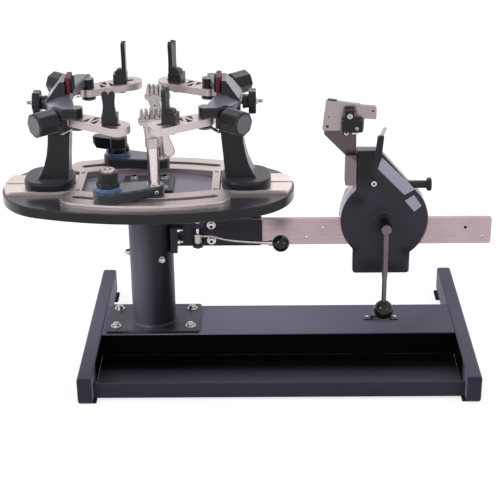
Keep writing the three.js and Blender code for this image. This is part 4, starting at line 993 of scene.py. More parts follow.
def column_islands():
    """The flange, and the tube with its weld and its collar."""
    low, high = box("column_post")
    seat = low.z + FLANGE_THICK
    spot = middle("bearing_sleeve")
    inner, collar_inner = COLUMN_RADIUS - 3.9, COLLAR_RADIUS - 6
    weld = [(COLUMN_RADIUS, seat - 1), (41, seat - 1), (37.9, seat + 1.5), (COLUMN_RADIUS, seat + 4.5)]
    collar = [(COLUMN_RADIUS, COLLAR_LOW), (COLLAR_RADIUS, COLLAR_LOW), (COLLAR_RADIUS, high.z - 1)]
    collar += [(COLLAR_RADIUS - 1, high.z), (collar_inner, high.z), (collar_inner, COLLAR_STEP)]
    wall = weld + collar + [(inner, COLLAR_STEP), (inner, seat - 1), (COLUMN_RADIUS, seat - 1)]
    flange = slab(low.x, high.x, low.y, high.y, low.z, seat, corner=3.5, edge=0.9)
    return [(flange, Matrix()), (lathe(wall, edge=0.5, steps=96), at(spot.x, spot.y))]


def flange_bolts():
    """A washer, a hex head and a bolt's end at each corner of the flange."""
    spot = middle("bearing_sleeve")
    seat = box("column_post")[0].z + FLANGE_THICK
    size = in_mm(sizes().flange_bolt)
    under = 1.6
    islands = []
    for x, y in ((-63, -32), (-63, 32), (63, -32), (63, 32)):
        islands += together(
            at(spot.x + x, spot.y + y, seat, 17 * x),
            tube(size * 1.05, inner=size / 2, low=0, high=under),
            hex_prism(size * 1.35, under, under + size * 0.5, edge=0.5),
            peg(size * 0.42, under, size * 0.5 + 3.4, edge=0.5, steps=24),
        )
    return islands


def set_bolts():
    """Three hex bolts that pinch the bearing sleeve through the column's wall."""
    spot = middle("bearing_sleeve")
    islands = []
    for azimuth in (180, 300, 60):
        out = Vector((math.cos(math.radians(azimuth)), math.sin(math.radians(azimuth)), 0))
        start = spot + (COLUMN_RADIUS - 0.5) * out
        islands += together(
            facing(start.x, start.y, SET_BOLT_HEIGHT, out),
            peg(5.6, 0, 2.6, edge=0.4),
            hex_prism(8.6, 2.6, 6.6, edge=0.5),
            peg(2.9, 6, 8.2, edge=0.5, steps=24),
        )
    return islands


class STRINGER_OT_column(bpy.types.Operator):
    """Builds the column with its flange, bolts and spindle."""

    bl_idname = "stringer.column"
    bl_label = "Column"

    def execute(self, context):
        place_piece("column_tube", "stand", "black_steel", "Column coat", column_islands(), "column_post")
        place_piece("flange_bolts", "stand", "bright_steel", "Bright steel", flange_bolts())
        place_piece("column_set_bolts", "stand", "bright_steel", "Bright steel", set_bolts())
        refinish("bearing_sleeve", "Bright steel")
        refinish("spindle", "Crank steel")
        return {"FINISHED"}


# The rail, its bracket and the brake

# The brake's rod, from its pin: how far right and to the front it is at each height
BRAKE_ROUTE = ((0, 0, 213), (8, -2, 216), (22, -5, 217), (34, -8, 215), (50, -12, 212), (85, -20, 212))
BRAKE_BALL = (136, -30, 214)
BRAKE_RADIUS = 2.7
# The heights of the bracket's screws
CHEEK_SCREWS = (228, 201)
BRACKET_BOLTS = (224, 203)


def bracket_bolts():
    """The screws through the front cheek, and the bolts that hold the bracket to the column."""
    axis = middle("bearing_sleeve").x
    islands = []
    for z in CHEEK_SCREWS:
        place = facing(axis + 101, -9.3, z, FRONTWARD)
        head = socket_head(5.4, 1.3, 6, inset=2.1, depth=2.6)
        islands += together(place, tube(7.4, inner=3.4, low=0, high=1.3), head)
    for z in BRACKET_BOLTS:
        place = facing(axis + 45, -18, z, RIGHTWARD)
        islands += together(place, hex_prism(8, 0, 5, edge=0.5), peg(2.6, 5, 9.5, edge=0.4, steps=24))
    return islands


def brake_pivot():
    return middle("brake_pin") * Vector((1, 1, 0))


def brake_out():
    """The direction in which the rod enters its ball."""
    return (Vector(BRAKE_BALL) - Vector(BRAKE_ROUTE[-1])).normalized()


def brake_islands():
    """The hub on the pin, the bent rod and the ferrule before the ball."""
    pivot = brake_pivot()
    hub = tube(6.5, inner=3.3, low=203, high=219, edge=0.6, steps=40)
    rod = rod_along([pivot + Vector(point) for point in (*BRAKE_ROUTE, BRAKE_BALL)], BRAKE_RADIUS)
    start = pivot + Vector(BRAKE_BALL) - 20 * brake_out()
    ferrule = (peg(4.4, 0, 7, edge=0.6), facing(*start, brake_out()))
    return [(hub, at(pivot.x, pivot.y)), (rod, Matrix()), ferrule]


def brake_ball_island():
    return ball(14, flat=5), facing(*(brake_pivot() + Vector(BRAKE_BALL)), -brake_out())


class STRINGER_OT_rail(bpy.types.Operator):
    """Builds the tension rail, its bracket and the brake lever."""

    bl_idname = "stringer.rail"
    bl_label = "Rail and brake"

    def execute(self, context):
        edge = in_mm(sizes().machined_edge)
        dress("tension_rail", "stand", "brushed_steel", "Brushed rail", edge=edge, degrees=35)
        dress("rail_bracket", "stand", "black_steel", "Powder coat", edge=0.8)
        dress("brake_pin", "stand", "bright_steel", "Bright steel", edge=0.4)
        place_piece("bracket_bolts", "stand", "bright_steel", "Bright steel", bracket_bolts())
        place_piece("brake_lever_rod", "brake", "bright_steel", "Satin steel", brake_islands(), "brake_lever")
        grip = [brake_ball_island()]
        place_piece("brake_lever_ball", "brake", "black_plastic", "Ball black", grip, "brake_ball")
        return {"FINISHED"}


# The turntable

# The deck's oval: half its length and width, and the radius of its long sides
DECK_OVAL = (238, 118, 545)
# The glide bars: the radius and the inset of their centre line, and half the distance between their ends
GLIDE_RADIUS = 400
GLIDE_INSET = 82
GLIDE_REACH = 110
GLIDE_HALF = 26
CROSS_BAR_DROP = 0.25


def arc_from(bm, start, centre, degrees, steps):
    """Spins a vertex round a centre, and gives the arc's last vertex."""
    made = spin(bm, [start], centre, math.radians(degrees), steps, merge=False)
    return only(bmesh.types.BMVert, made["geom_last"])[0]


def oval_island(half_length, half_width, side_radius, low, high, edge):
    """A three-centre oval, spun from one vertex as four arcs."""
    drop = side_radius - half_width
    end_radius = (side_radius**2 - half_length**2 - drop**2) / (2 * (side_radius - half_length))
    along = half_length - end_radius
    meet = math.degrees(math.atan2(drop, along))
    corner = Matrix.Rotation(math.radians(-meet), 3, "Z") @ Vector((end_radius, 0, 0))
    bm = new_island()
    last = bm.verts.new(Vector((along, 0, low)) + corner)
    last = arc_from(bm, last, (along, 0, low), 2 * meet, steps=48)
    last = arc_from(bm, last, (0, -drop, low), 180 - 2 * meet, steps=32)
    last = arc_from(bm, last, (-along, 0, low), 2 * meet, steps=48)
    arc_from(bm, last, (0, drop, low), 180 - 2 * meet, steps=32)
    bmesh.ops.remove_doubles(bm, verts=bm.verts[:], dist=TINY)
    bmesh.ops.contextual_create(bm, geom=bm.edges[:])
    raise_faces(bm, high - low)
    round_edges(bm, edge, segments=3)
    return bm


def arc_loop(bm, half, z):
    """The closed outline of a curved bar with round ends, on the turntable's front side."""
    centre = GLIDE_RADIUS - GLIDE_INSET
    spread = math.degrees(math.asin(GLIDE_REACH / GLIDE_RADIUS))
    left, right = (Matrix.Rotation(math.radians(turn), 3, "Z") for turn in (-90 - spread, -90 + spread))
    last = bm.verts.new(Vector((0, centre, z)) + left @ Vector((GLIDE_RADIUS + half, 0, 0)))
    last = arc_from(bm, last, (0, centre, z), 2 * spread, steps=36)
    end = right @ Vector((GLIDE_RADIUS, 0, 0))
    last = arc_from(bm, last, (end.x, centre + end.y, z), 180, steps=18)
    last = arc_from(bm, last, (0, centre, z), -2 * spread, steps=36)
    end = left @ Vector((GLIDE_RADIUS, 0, 0))
    arc_from(bm, last, (end.x, centre + end.y, z), 180, steps=18)
    bmesh.ops.remove_doubles(bm, verts=bm.verts[:], dist=TINY)


def slotted_arc(slot_half, low, high, edge):
    """A curved bar with a slot along its middle."""
    bm = new_island()
    arc_loop(bm, GLIDE_HALF, low)
    arc_loop(bm, slot_half, low)
    bmesh.ops.bridge_loops(bm, edges=bm.edges[:])
    raise_faces(bm, high - low)
    round_edges(bm, edge)
    return bm


def arc_strip(half, low, high):
    """A curved bar without a slot."""
    bm = new_island()
    arc_loop(bm, half, low)
    bmesh.ops.contextual_create(bm, geom=bm.edges[:])
    raise_faces(bm, high - low)
    return bm


def glide_islands():
    """Two curved bars, each with a stepped slot over a thin strip, and the cross bars between them."""
    base, top = (corner.z for corner in box("glide_frame"))
    floor = base + 5
    islands = []
    for side in SIDES:
        islands += together(
            turntable(side),
            slotted_arc(6, floor, top, edge=0.9),
            slotted_arc(10, base, floor, edge=0),
            arc_strip(9.8, base, base + 0.4),
            slab(104, 117, -56, 56, base, top - CROSS_BAR_DROP, edge=0.6),
        )
    return islands


def glide_screws():
    """The two small screws in each cross bar."""
    top = box("glide_frame")[1].z - CROSS_BAR_DROP
    islands = []
    for side in SIDES:
        for y in (-38, 38):
            screw = socket_head(3.4, -0.8, 0.25, inset=1.5, depth=0.9, edge=0.2, steps=24)
            islands.append((screw, turntable(side) @ at(110.5, y, top)))
    return islands


def hub_bolts():
    """A washer and a socket head at each corner of the hub plate."""
    top = box("hub_plate")[1].z
    size = in_mm(sizes().hub_bolt)
    islands = []
    for x, y in ((-25, -22), (25, -22), (25, 22), (-25, 22)):
        head = socket_head(size * 0.72, 1.2, 3.7, inset=2.2, depth=1.6)
        islands += together(turntable() @ at(x, y, top), tube(size, inner=size / 2, low=0, high=1.2), head)
    return islands


def deck_underside():
    """The stiffening ring and its screws under the deck."""
    top = box("turntable_deck")[0].z + 1
    low = top - 2.6
    inner, outer = 41, 56
    islands = [(tube(outer, inner, low, top, edge=0.5, steps=96), turntable())]
    for turn in range(30, 390, 60):
        place = turntable() @ at(0, 0, 0, turn) @ upside_down((inner + outer) / 2, low)
        islands.append((pan_screw(3.6, low=0, rise=2), place))
    return islands


class STRINGER_OT_turntable(bpy.types.Operator):
    """Builds the oval deck, its rails, the glide frame and the hub plate."""

    bl_idname = "stringer.turntable"
    bl_label = "Turntable"

    def execute(self, context):
        edges = sizes()
        low, high = box("turntable_deck")
        deck = [(oval_island(*DECK_OVAL, low.z, high.z, in_mm(edges.deck_edge)), turntable())]
        place_piece("deck_plate", "turntable", "black_casting", "Deck black", deck, "turntable_deck")
        for side in SIDES:
            rail = f"{side}_deck_rail"
            dress(rail, "turntable", "aluminium", "Pale aluminium", edge=in_mm(edges.machined_edge))
        place_piece("glide_bars", "turntable", "aluminium", "Satin aluminium", glide_islands(), "glide_frame")
        place_piece("glide_screws", "turntable", "bright_steel", "Crank steel", glide_screws())
        dress("hub_plate", "turntable", "black_casting", "Tower black", edge=0.5)
        place_piece("hub_bolts", "turntable", "bright_steel", "Bright steel", hub_bolts())
        place_piece("deck_ring", "turntable", "black_casting", "Powder coat", deck_underside())
        return {"FINISHED"}


# The towers, their pads, knobs and arms, each in its own tower's frame

# An arm knob's facet: its place, and how far out and sideways its slope leans
KNOB_FACET = (128.5, 80.5, 438)
KNOB_LEAN = (23, 21)
CAP_TOP = 42
STAR_FACE = (155, 0, 439)
HINGE = (98, 73)
HINGE_TURN = 30
HINGE_LOW = 420.6


def knob_place(side, end):
    """The facet that an arm knob stands on, its own Z pointing out of the facet."""
    sign = arm_sign(side, end)
    x, y, z = KNOB_FACET
    out, along = KNOB_LEAN
    return turntable(side) @ facing(x, sign * y, z, (out, sign * along, 0))


def arm_knob_islands(side, end):
    """The skirt, the fluted grip and the grey cap of an arm knob."""
    skirt = lathe([(0, -4), (5, -4), (5, 0.4), (12, 0.4), (12, 7.5), (0, 7.5)], edge=0.5, steps=48)
    high = CAP_TOP - 0.6
    grip = fluted_grip(19.5, depth=1.1, lobes=8, low=6, high=high, edge=2.4, segments=3)
    cap = peg(15, 40, CAP_TOP, edge=0.7, steps=48)
    carry_tone(cap, cap.faces)
    return together(knob_place(side, end), skirt, grip, cap)


def star_place(side):
    return turntable(side) @ facing(*STAR_FACE, RIGHTWARD)


def star_islands(side):
    hub = lathe([(0, -20), (5, -20), (5, 0.4), (12, 0.4), (10.5, 10.5), (0, 10.5)], edge=0.6, steps=48)
    grip = fluted_grip(20.5, depth=2.6, lobes=6, low=10, high=22, edge=1.8, steps=16, segments=3)
    return together(star_place(side), hub, grip)


def star_screw(side):
    """The nut on the star knob and the threaded end through it."""
    pitch = 1.15
    thread = [(0, 21)]
    for turn in range(9):
        thread += [(3, 21.6 + pitch * turn), (2.5, 22.2 + pitch * turn)]
    thread += [(2.6, 32), (1.6, 33), (0, 33)]
    return together(star_place(side), lathe(thread, steps=24), hex_prism(9, 21.5, 25, edge=0.4))


def pad_islands(side):
    low, high = box(f"{side}_frame_pad")
    return [(slab(114, 123, -18, 18, low.z, high.z, corner=4, edge=1.4), turntable(side))]


def pad_face_islands(side):
    low, high = box(f"{side}_frame_pad")
    face = slab(111, 114.3, -14.5, 14.5, low.z + 0.4, high.z - 5, corner=1.4, edge=1)
    return [(face, turntable(side))]


class STRINGER_OT_towers(bpy.types.Operator):
    """Builds the two towers with their heads, pads and knobs."""

    bl_idname = "stringer.towers"
    bl_label = "Towers"

    def execute(self, context):
        edge = in_mm(sizes().casting_edge)
        for side in SIDES:
            body, star = f"{side}_support", f"{side}_star"
            dress(f"{side}_tower", body, "black_casting", "Tower black", edge=edge, segments=3)
            dress(f"{side}_tower_head", body, "black_casting", "Black casting", edge=edge, segments=3)
            pad = f"{side}_frame_pad"
            place_piece(f"{side}_pad_back", body, "maroon_pad", "Maroon pad", pad_islands(side), pad)
            place_piece(f"{side}_pad_face", body, "maroon_pad", "Rubber", pad_face_islands(side))
            grip, screw = star_islands(side), star_screw(side)
            place_piece(f"{star}_grip", star, "black_plastic", "Black plastic", grip, f"{star}_knob")
            place_piece(f"{star}_screw", star, "bright_steel", "Bright steel", screw)
            for end in ENDS:
                knob, dial = f"{side}_{end}_arm_knob", f"{side}_{end}_dial"
                grip = arm_knob_islands(side, end)
                place_piece(f"{knob}_grip", dial, "black_plastic", "Black plastic", grip, knob)
        return {"FINISHED"}


def hinge_place(side, end):
    sign = arm_sign(side, end)
    return turntable(side) @ at(HINGE[0], sign * HINGE[1], 0, 180 - sign * HINGE_TURN)


def hinge_cap(side, end):
    """The cap under a hinge and the screw in it."""
    place = hinge_place(side, end)
    high = HINGE_LOW + 3.1
    cap = lathe([(0, HINGE_LOW), (11.5, HINGE_LOW), (11.5, high), (0, high)], edge=0.6, steps=48)
    screw = socket_head(4.5, 0, 2.6, inset=1.9, depth=1.4)
    return [(cap, place), (screw, place @ upside_down(0, HINGE_LOW))]


def arm_tail(side, end):
    """The strip that the arm knob's screw pushes, and the rivet that holds it to the arm."""
    sign = arm_sign(side, end)
    root = Vector((HINGE[0] + 1, sign * HINGE[1], 426.6))
    tip = Vector((122, sign * 90, 418))
    along = (tip - root).normalized()
    across = Vector(UP).cross(along).normalized()
    axes = Matrix((along, across, along.cross(across))).transposed().to_4x4()
    place = turntable(side) @ Matrix.Translation(root) @ axes
    reach = (tip - root).length
    strip = slab(-4, reach, -3.6, 3.6, -0.8, 0.8, corner=3, edge=0.3)
    rivet = peg(2, 0.7, 1.7, edge=0.4, steps=24)
    return [(strip, place), (rivet, place @ at(reach - 5, 0))]


class STRINGER_OT_arms(bpy.types.Operator):
    """Builds the four truss arms and their hooks."""

    bl_idname = "stringer.arms"
    bl_label = "Arms and hooks"

    def execute(self, context):
        for side in SIDES:
            for end in ENDS:
                arm = f"{side}_{end}_arm"
                dress(arm, f"{side}_{end}_side", "aluminium", "Satin aluminium", edge=0.9)
                dress(f"{side}_{end}_hook", f"{side}_{end}_finger", "black_plastic", "Hook black", edge=1)
                cap = hinge_cap(side, end)
                place_piece(f"{arm}_cap", f"{side}_support", "bright_steel", "Crank steel", cap)
                tail = arm_tail(side, end)
                place_piece(f"{arm}_tail", f"{side}_{end}_side", "satin_steel", "Satin steel", tail)
        return {"FINISHED"}


# The fixed clamps

CLAMP_TURN = {"front": 16.4, "rear": -13}
POST_REACH = 73
POST_RADIUS = 9.5
POST_TOP = 385.5
COLLAR_LOW_RADIUS = 10.6
JAWS_COLLAR_RADIUS = 11.5
JAWS_FOOT = 395.5
# The jaws' adjusting screw, from the post, and half the thickness that the jaws have there
JAW_SCREW = (-3, 415)
JAW_HALF = 7.1


def clamp_place(end):
    spot = middle(f"{end}_slide_stud")
    return at(spot.x, spot.y, 0, CLAMP_TURN[end])


def post_place(end):
    return clamp_place(end) @ at(POST_REACH, 0)


def lock_knob_islands(end):
    """The lobed skirt and the fluted grip of a lock knob, and the rear one's wing."""
    low, high = box(f"{end}_lock_knob")
    foot, top = low.z + 5.2, high.z - 3.6
    islands = [fluted_grip(19.3, depth=1.6, lobes=8, low=foot, high=foot + 9, edge=2, segments=3)]
    flutes = {"depth": 0.6, "lobes": 16, "steps": 6}
    islands.append(fluted_grip(16, low=foot + 3, high=top, edge=1.6, segments=3, **flutes))
    if end == "rear":
        islands.append(wing_island(foot + 5, top - 0.2))
    return together(clamp_place(end), *islands)


def wing_island(low, high):
    """The wing of the rear knob, cut off at a slant below its tip."""
    wing = plate([(-8, -13), (-8, 13), (-38, 8.6), (-43, 5), (-43, -5), (-38, -8.6)], low, high, corner=2)
    bmesh.ops.contextual_create(wing, geom=cut_rim(wing, (-41, 0, low + 7), (-0.75, 0, -0.66)))
    round_edges(wing, 1.2, segments=3)
    return wing


def lock_ring_islands(end):
    """The blue ring, with a groove round it."""
    low = box(f"{end}_lock_knob")[0].z
    profile = [(4.6, 0), (21.3, 0), (21.3, 2), (19.9, 2.5), (19.9, 3), (20.8, 3.5), (20.8, 5.4)]
    profile += [(4.6, 5.4), (4.6, 0)]
    return [(lathe([(radius, low + z) for radius, z in profile], edge=0.4, steps=72), clamp_place(end))]


def lock_cap_islands(end):
    """The steel disc in a lock knob's top, and the nut in it."""
    high = box(f"{end}_lock_knob")[1].z
    disc = socket_head(11.2, high - 4.4, high - 0.5, inset=5, depth=1, edge=0.7, steps=56)
    return together(clamp_place(end), disc, hex_prism(8, high - 1.6, high, edge=0.4))


def post_islands(end):
    """The bright post, turned with a groove."""
    low = box(f"{end}_clamp_head")[0].z
    groove = low + 16
    post = [(0, low), (POST_RADIUS, low), (POST_RADIUS, groove), (POST_RADIUS - 0.3, groove + 0.4)]
    post += [(POST_RADIUS, groove + 0.8), (POST_RADIUS, POST_TOP), (0, POST_TOP)]
    return [(lathe(post, edge=0.4, steps=64), post_place(end))]


def collar_islands(end):
    """The collar that the jaws grow from, with a ring round its top."""
    low, wide = POST_TOP - 0.5, JAWS_COLLAR_RADIUS
    collar = [(0, 0), (COLLAR_LOW_RADIUS, 0), (wide, 1), (wide, 9), (wide - 0.4, 9.5), (wide - 0.4, 10.5)]
    collar += [(wide, 11), (wide, 15), (wide - 1.5, 17), (0, 17)]
    return [(lathe([(radius, low + z) for radius, z in collar], edge=0.3, steps=64), post_place(end))]


def jaws_island(end):
    """The toothed head, cut off its coarse post."""
    bm = copied(f"{end}_clamp_head", 0)
    bmesh.ops.holes_fill(bm, edges=cut_rim(bm, (0, 0, JAWS_FOOT), DOWN))
    bmesh.ops.recalc_face_normals(bm, faces=bm.faces[:])
    round_edges(bm, 0.55)
    return bm


def jaw_screws(end):
    """The adjusting screw through the jaws and the two small pins above it."""
    front = -JAW_HALF - 0.1
    spots = ((*JAW_SCREW, 3.4, 1, 1.2), (9, 424.5, 1.9, 0, 0.7), (-13, 420, 1.3, 0, 0.5))
    return [
        (pan_screw(radius, low=low, rise=rise), post_place(end) @ facing(x, front, z, FRONTWARD))
        for x, z, radius, low, rise in spots
    ]


def jaw_bosses(end):
    """The round bosses on both faces of the jaws."""
    x, z = JAW_SCREW
    return [
        (peg(8.5, 0, 1.2, edge=0.5, steps=48), post_place(end) @ facing(x, face * JAW_HALF, z, (0, face, 0)))
        for face in (-1, 1)
    ]


def tooth_root_shadow(end):
    """A thin dark scalloped rod under the teeth, on both faces: a painted shadow along the roots of the
    teeth.
    """
    out = JAW_HALF + 0.05
    scallops = ((-18.6, 428.6), (-16.4, 430.4), (-13.6, 430.6), (-11.8, 428.8), (-9.4, 431.4), (-4.5, 433.2))
    scallops += ((0.5, 433.2), (5.6, 431.6), (8.6, 429.2), (11.5, 431), (14.6, 431.4), (18.4, 429.6))
    lines = [[(x, face * out, z) for x, z in scallops] for face in (-1, 1)]
    return [(rod_along(line, 0.5, ring_steps=2), post_place(end)) for line in lines]


def clamp_base_trim(end):
    """The clamp screw in the base's side and the bright ring round the post."""
    low, high = box(f"{end}_clamp_base")
    place = post_place(end)
    ring = lathe(
        [(9.7, -0.3), (12.6, -0.3), (12.6, 0.5), (11.8, 1), (9.7, 1), (9.7, -0.3)], edge=0.2, steps=48
    )
    side = facing(0, -15.8, (low.z + high.z) / 2, FRONTWARD)
    return [(pan_screw(3.4, low=0, rise=2), place @ side), (ring, place @ at(0, 0, high.z))]


class STRINGER_OT_clamps(bpy.types.Operator):
    """Builds the two fixed clamps with their toothed heads and lock knobs."""

    bl_idname = "stringer.clamps"
    bl_label = "Fixed clamps"

    def execute(self, context):
        for end in ENDS:
            refinish(f"{end}_slide_stud", "Bright steel")
            base, lock, jaws = f"{end}_base", f"{end}_lock", f"{end}_jaws"
            dress(f"{end}_clamp_base", base, "black_casting", "Clamp black", edge=1.1, segments=3)
            place_piece(f"{base}_trim", base, "bright_steel", "Bright steel", clamp_base_trim(end))
            grip = lock_knob_islands(end)
            place_piece(f"{lock}_grip", lock, "black_plastic", "Black plastic", grip, f"{lock}_knob")
            place_piece(f"{lock}_ring", lock, "black_plastic", "Blue ring", lock_ring_islands(end))
            place_piece(f"{lock}_cap", lock, "satin_steel", "Satin steel", lock_cap_islands(end))
            islands = [(jaws_island(end), Matrix())] + collar_islands(end) + jaw_bosses(end)
            head = f"{end}_clamp_head"
            place_piece(f"{end}_clamp_jaws", jaws, "satin_steel", "Satin steel", islands, head)
            place_piece(f"{end}_clamp_post", jaws, "satin_steel", "Turned steel", post_islands(end))
            place_piece(f"{end}_jaw_screws", jaws, "bright_steel", "Bright steel", jaw_screws(end))
            # A painted shadow: the thin dark rod under the teeth
            place_piece(f"{end}_gum_line", jaws, "bright_steel", "Crank steel", tooth_root_shadow(end))
            lever_finish = "Satin aluminium" if end == "front" else "Black plastic"
            dress(f"{end}_clamp_lever", f"{end}_cam", "satin_steel", lever_finish, edge=1.2, segments=3)
        return {"FINISHED"}


# The tension head, the gripper and the crank

CRANK_HEIGHT = 247
# The end of the pinion towards the head, and its other end
PINION_FRONT = 4.4
PINION_BACK = 14.2


def head_place():
    """The point on the crank's axis from which the head's pieces are measured."""
    return Vector((middle("crank_ball").x, 0, CRANK_HEIGHT))


def cover_front():
    """Where the cover's flat face lies, behind its raised boss."""
    return box("head_cover")[0].y + 3


def standing(x, y, z):
    """A place whose own Z points towards the front and whose own Y points up."""
    return Matrix.Translation((x, y, z)) @ Matrix.Rotation(math.pi / 2, 4, "X")


def on_head(x, front, z):
    """A place on a face that looks to the front, measured from the crank's axis."""
    axis = head_place()
    return facing(axis.x + x, front, axis.z + z, FRONTWARD)


def on_cover(points):
    """A thin panel on the cover's face, from its corners in X and Z."""
    axis = head_place()
    bm = plate([(axis.x + x, axis.z + z) for x, z in points], 0, 0.5, corner=1.2, edge=0.25)
    return bm, standing(0, cover_front(), 0)


def cover_panels():
    upper = [(-7.7, 110.5), (-13.5, 90.6), (30.2, 45.5), (47.3, 55.2)]
    lower = [(31.4, 35.3), (45.9, 45.2), (59, 26), (47.3, 16.2)]
    return [on_cover(upper), on_cover(lower)]


def cover_screw_place():
    return on_head(-19, cover_front(), 66)


def cover_screws():
    return [(pan_screw(4.6, low=0.8, rise=2.6), cover_screw_place())]


def cover_washer():
    return [(tube(7.6, inner=3, low=0, high=1), cover_screw_place())]


def cover_island():
    """The cover with a groove round its flank, behind which the housing has a paler tone; the groove and the
    housing's top carry painted shade.
    """
    bm = copied("head_cover", 0)
    front = cover_front()
    start, end = front + 3.8, front + 5
    slice_across(bm, (start, end))
    flank = [face for face in bm.faces if abs(face.normal.y) < 0.2 and face.calc_center_median().y > start]
    outer = [face for face in flank if (face.calc_center_median() - head_place()).dot(face.normal) > 0]
    groove = [face for face in outer if face.calc_center_median().y < end]
    carry_tone(bm, outer)
    # Painted shade: the housing's upward faces take only a quarter of its pale tone, so its top reads darker
    # than its flank
    carry_tone(bm, [face for face in outer if face.normal.z > 0.95], 0.25)
    bmesh.ops.inset_region(bm, faces=groove, thickness=0.02, depth=-0.7, use_even_offset=True)
    # Painted shade: the sunk groove keeps the cover's dark colour, for the shadowed gap between cover and
    # housing
    carry_tone(bm, groove, 0)
    return bm


def carriage_plate():
    """The pale plate that stands on the rail behind the cover's left side."""
    axis = head_place()
    outline = [(-20, -10.5), (-71, -10.5), (-70, 1), (-67.5, 12), (-64.5, 23), (-60.5, 36)]
    outline += [(-54, 40), (-20, 40)]
    bm = plate([(axis.x + x, axis.z + z) for x, z in outline], 0, 9, corner=1, edge=0.8)
    return bm, standing(0, 15, 0)


def crank_boss():
    """The raised ring and the dark bush that the crank's shaft turns in."""
    ring = [(7, 0), (17.5, 0), (17.5, 1.6), (15.5, 2.9), (12, 2.9), (11, 1.6), (7, 1.6), (7, 0)]
    return [(lathe(ring, edge=0.3, steps=72), on_head(0, cover_front(), 0))]


def lever_place():
    """Where the lock lever turns."""
    axis = head_place()
    return standing(axis.x - 13, -40.3, axis.z + 115)


def lever_islands():
    """The lock lever's bent blade and its pin."""
    outline = [(-3.6, -2), (3.6, -2), (7, 32), (12.4, 46), (6.4, 46), (0.6, 33)]
    blade = plate(outline, 0.6, 3, corner=1.2, edge=0.4)
    return together(lever_place(), blade, peg(2.4, -5, 0.5, steps=24))


def lever_grip():
    """The sleeve on the blade, leaning with it, and the lever's round boss."""
    grip = plate([(-5.6, 5), (5.6, 5), (8, 32.5), (-2.6, 32.5)], -2.2, 6.4, corner=2.6, edge=2.2, segments=4)
    return together(lever_place(), grip, peg(6.8, 0, 4.1, edge=0.6, steps=40))


def tension_knob_islands():
    """The knurled shank and the wide rim of the tension knob."""
    low, high = box("tension_knob")
    place = facing(low.x, (low.y + high.y) / 2, (low.z + high.z) / 2, RIGHTWARD)
    reach = high.x - low.x
    shaft = fluted_grip(6.5, depth=0.5, lobes=24, low=0, high=reach - 7, edge=0.4, steps=4)
    rim = [(0, reach - 8), (8.5, reach - 8), (11, reach - 5.5), (11, reach - 1), (10, reach), (0, reach)]
    return together(place, shaft, lathe(rim, edge=0.5, steps=48))


class STRINGER_OT_head(bpy.types.Operator):
    """Builds the tension head's cover, carriage, lock lever and tension knob."""

    bl_idname = "stringer.head"
    bl_label = "Tension head"

    def execute(self, context):
        cover = cover_island()
        round_edges(cover, 0.9, segments=3, degrees=50)
        place_piece("cover_shell", "head", "black_casting", "Slate cover", [(cover, Matrix())], "head_cover")
        place_piece("crank_boss", "head", "black_casting", "Black casting", crank_boss())
        carriage = [(copied("head_carriage", 1), Matrix()), carriage_plate()]
        place_piece("carriage", "head", "grey_casting", "Pale carriage", carriage, "head_carriage")
        place_piece("cover_panels", "head", "grey_casting", "Blank panel", cover_panels())
        place_piece("cover_screws", "head", "bright_steel", "Bright steel", cover_screws())
        place_piece("cover_washer", "head", "black_plastic", "Black plastic", cover_washer())
        blade = lever_islands()
        place_piece("lock_lever_blade", "head_lock", "bright_steel", "Satin steel", blade, "lock_lever")
        place_piece("lock_lever_grip", "head_lock", "black_plastic", "Black plastic", lever_grip())
        knob = tension_knob_islands()
        place_piece("tension_knob_shown", "head_knob", "black_plastic", "Black plastic", knob, "tension_knob")
        return {"FINISHED"}


def gripper_front():
    return box("gripper_plate")[1].y - 8


def gripper_screws():
    spots = ((-94, 158, 2.6), (-22.5, 183, 2), (-92, 174, 1.3), (-66, 134, 1.8))
    return [(pan_screw(radius, low=0, rise=0.8), on_head(x, gripper_front(), z)) for x, z, radius in spots]


def flare_screw_place():
    return on_head(-64, gripper_front(), 147.5)


def flare_screw():
    """The screw under the jaw, and the bright edge beside it."""
    axis = head_place()
    edge = slab(-55, -44, -2.4, 0, 145.5, 148, corner=0.8, edge=0.3)
    beside = Matrix.Translation((axis.x, gripper_front(), axis.z))
    return [(pan_screw(3.6, low=1, rise=2.4), flare_screw_place()), (edge, beside)]


def flare_washer():
    return [(tube(5.2, inner=2, low=0, high=1.1), flare_screw_place())]


def gripper_jaw_screws():
    front = box("gripper_jaw")[0].y
    spots = ((-59.5, 179, 4.3), (-48, 159, 2.9))
    return [(pan_screw(radius, low=0, rise=1.8), on_head(x, front, z)) for x, z, radius in spots]


def gripper_backing():
    """The dark plate that shows round the jaw, whose upper stem is painted shade for the recess above the
    jaw.
    """
    axis = head_place()
    outline = [(-74, 150), (-37, 150), (-36, 172), (-46, 176), (-50, 192), (-68, 192), (-72, 172)]
    return [(plate(outline, 0, 0.8, corner=2, edge=0.3), standing(axis.x, gripper_front(), axis.z))]


def gripper_strip():
    """The dark strip on the gripper's top left."""
    axis = head_place()
    high = box("gripper_plate")[1]
    strip = slab(-90, -76, 0, 7, -1.2, 0.5, corner=0.8, edge=0.3)
    slope = Matrix.Rotation(math.radians(7.6), 4, "Y")
    return [(strip, Matrix.Translation((axis.x - 4, high.y - 7.5, high.z - 10.6)) @ slope)]


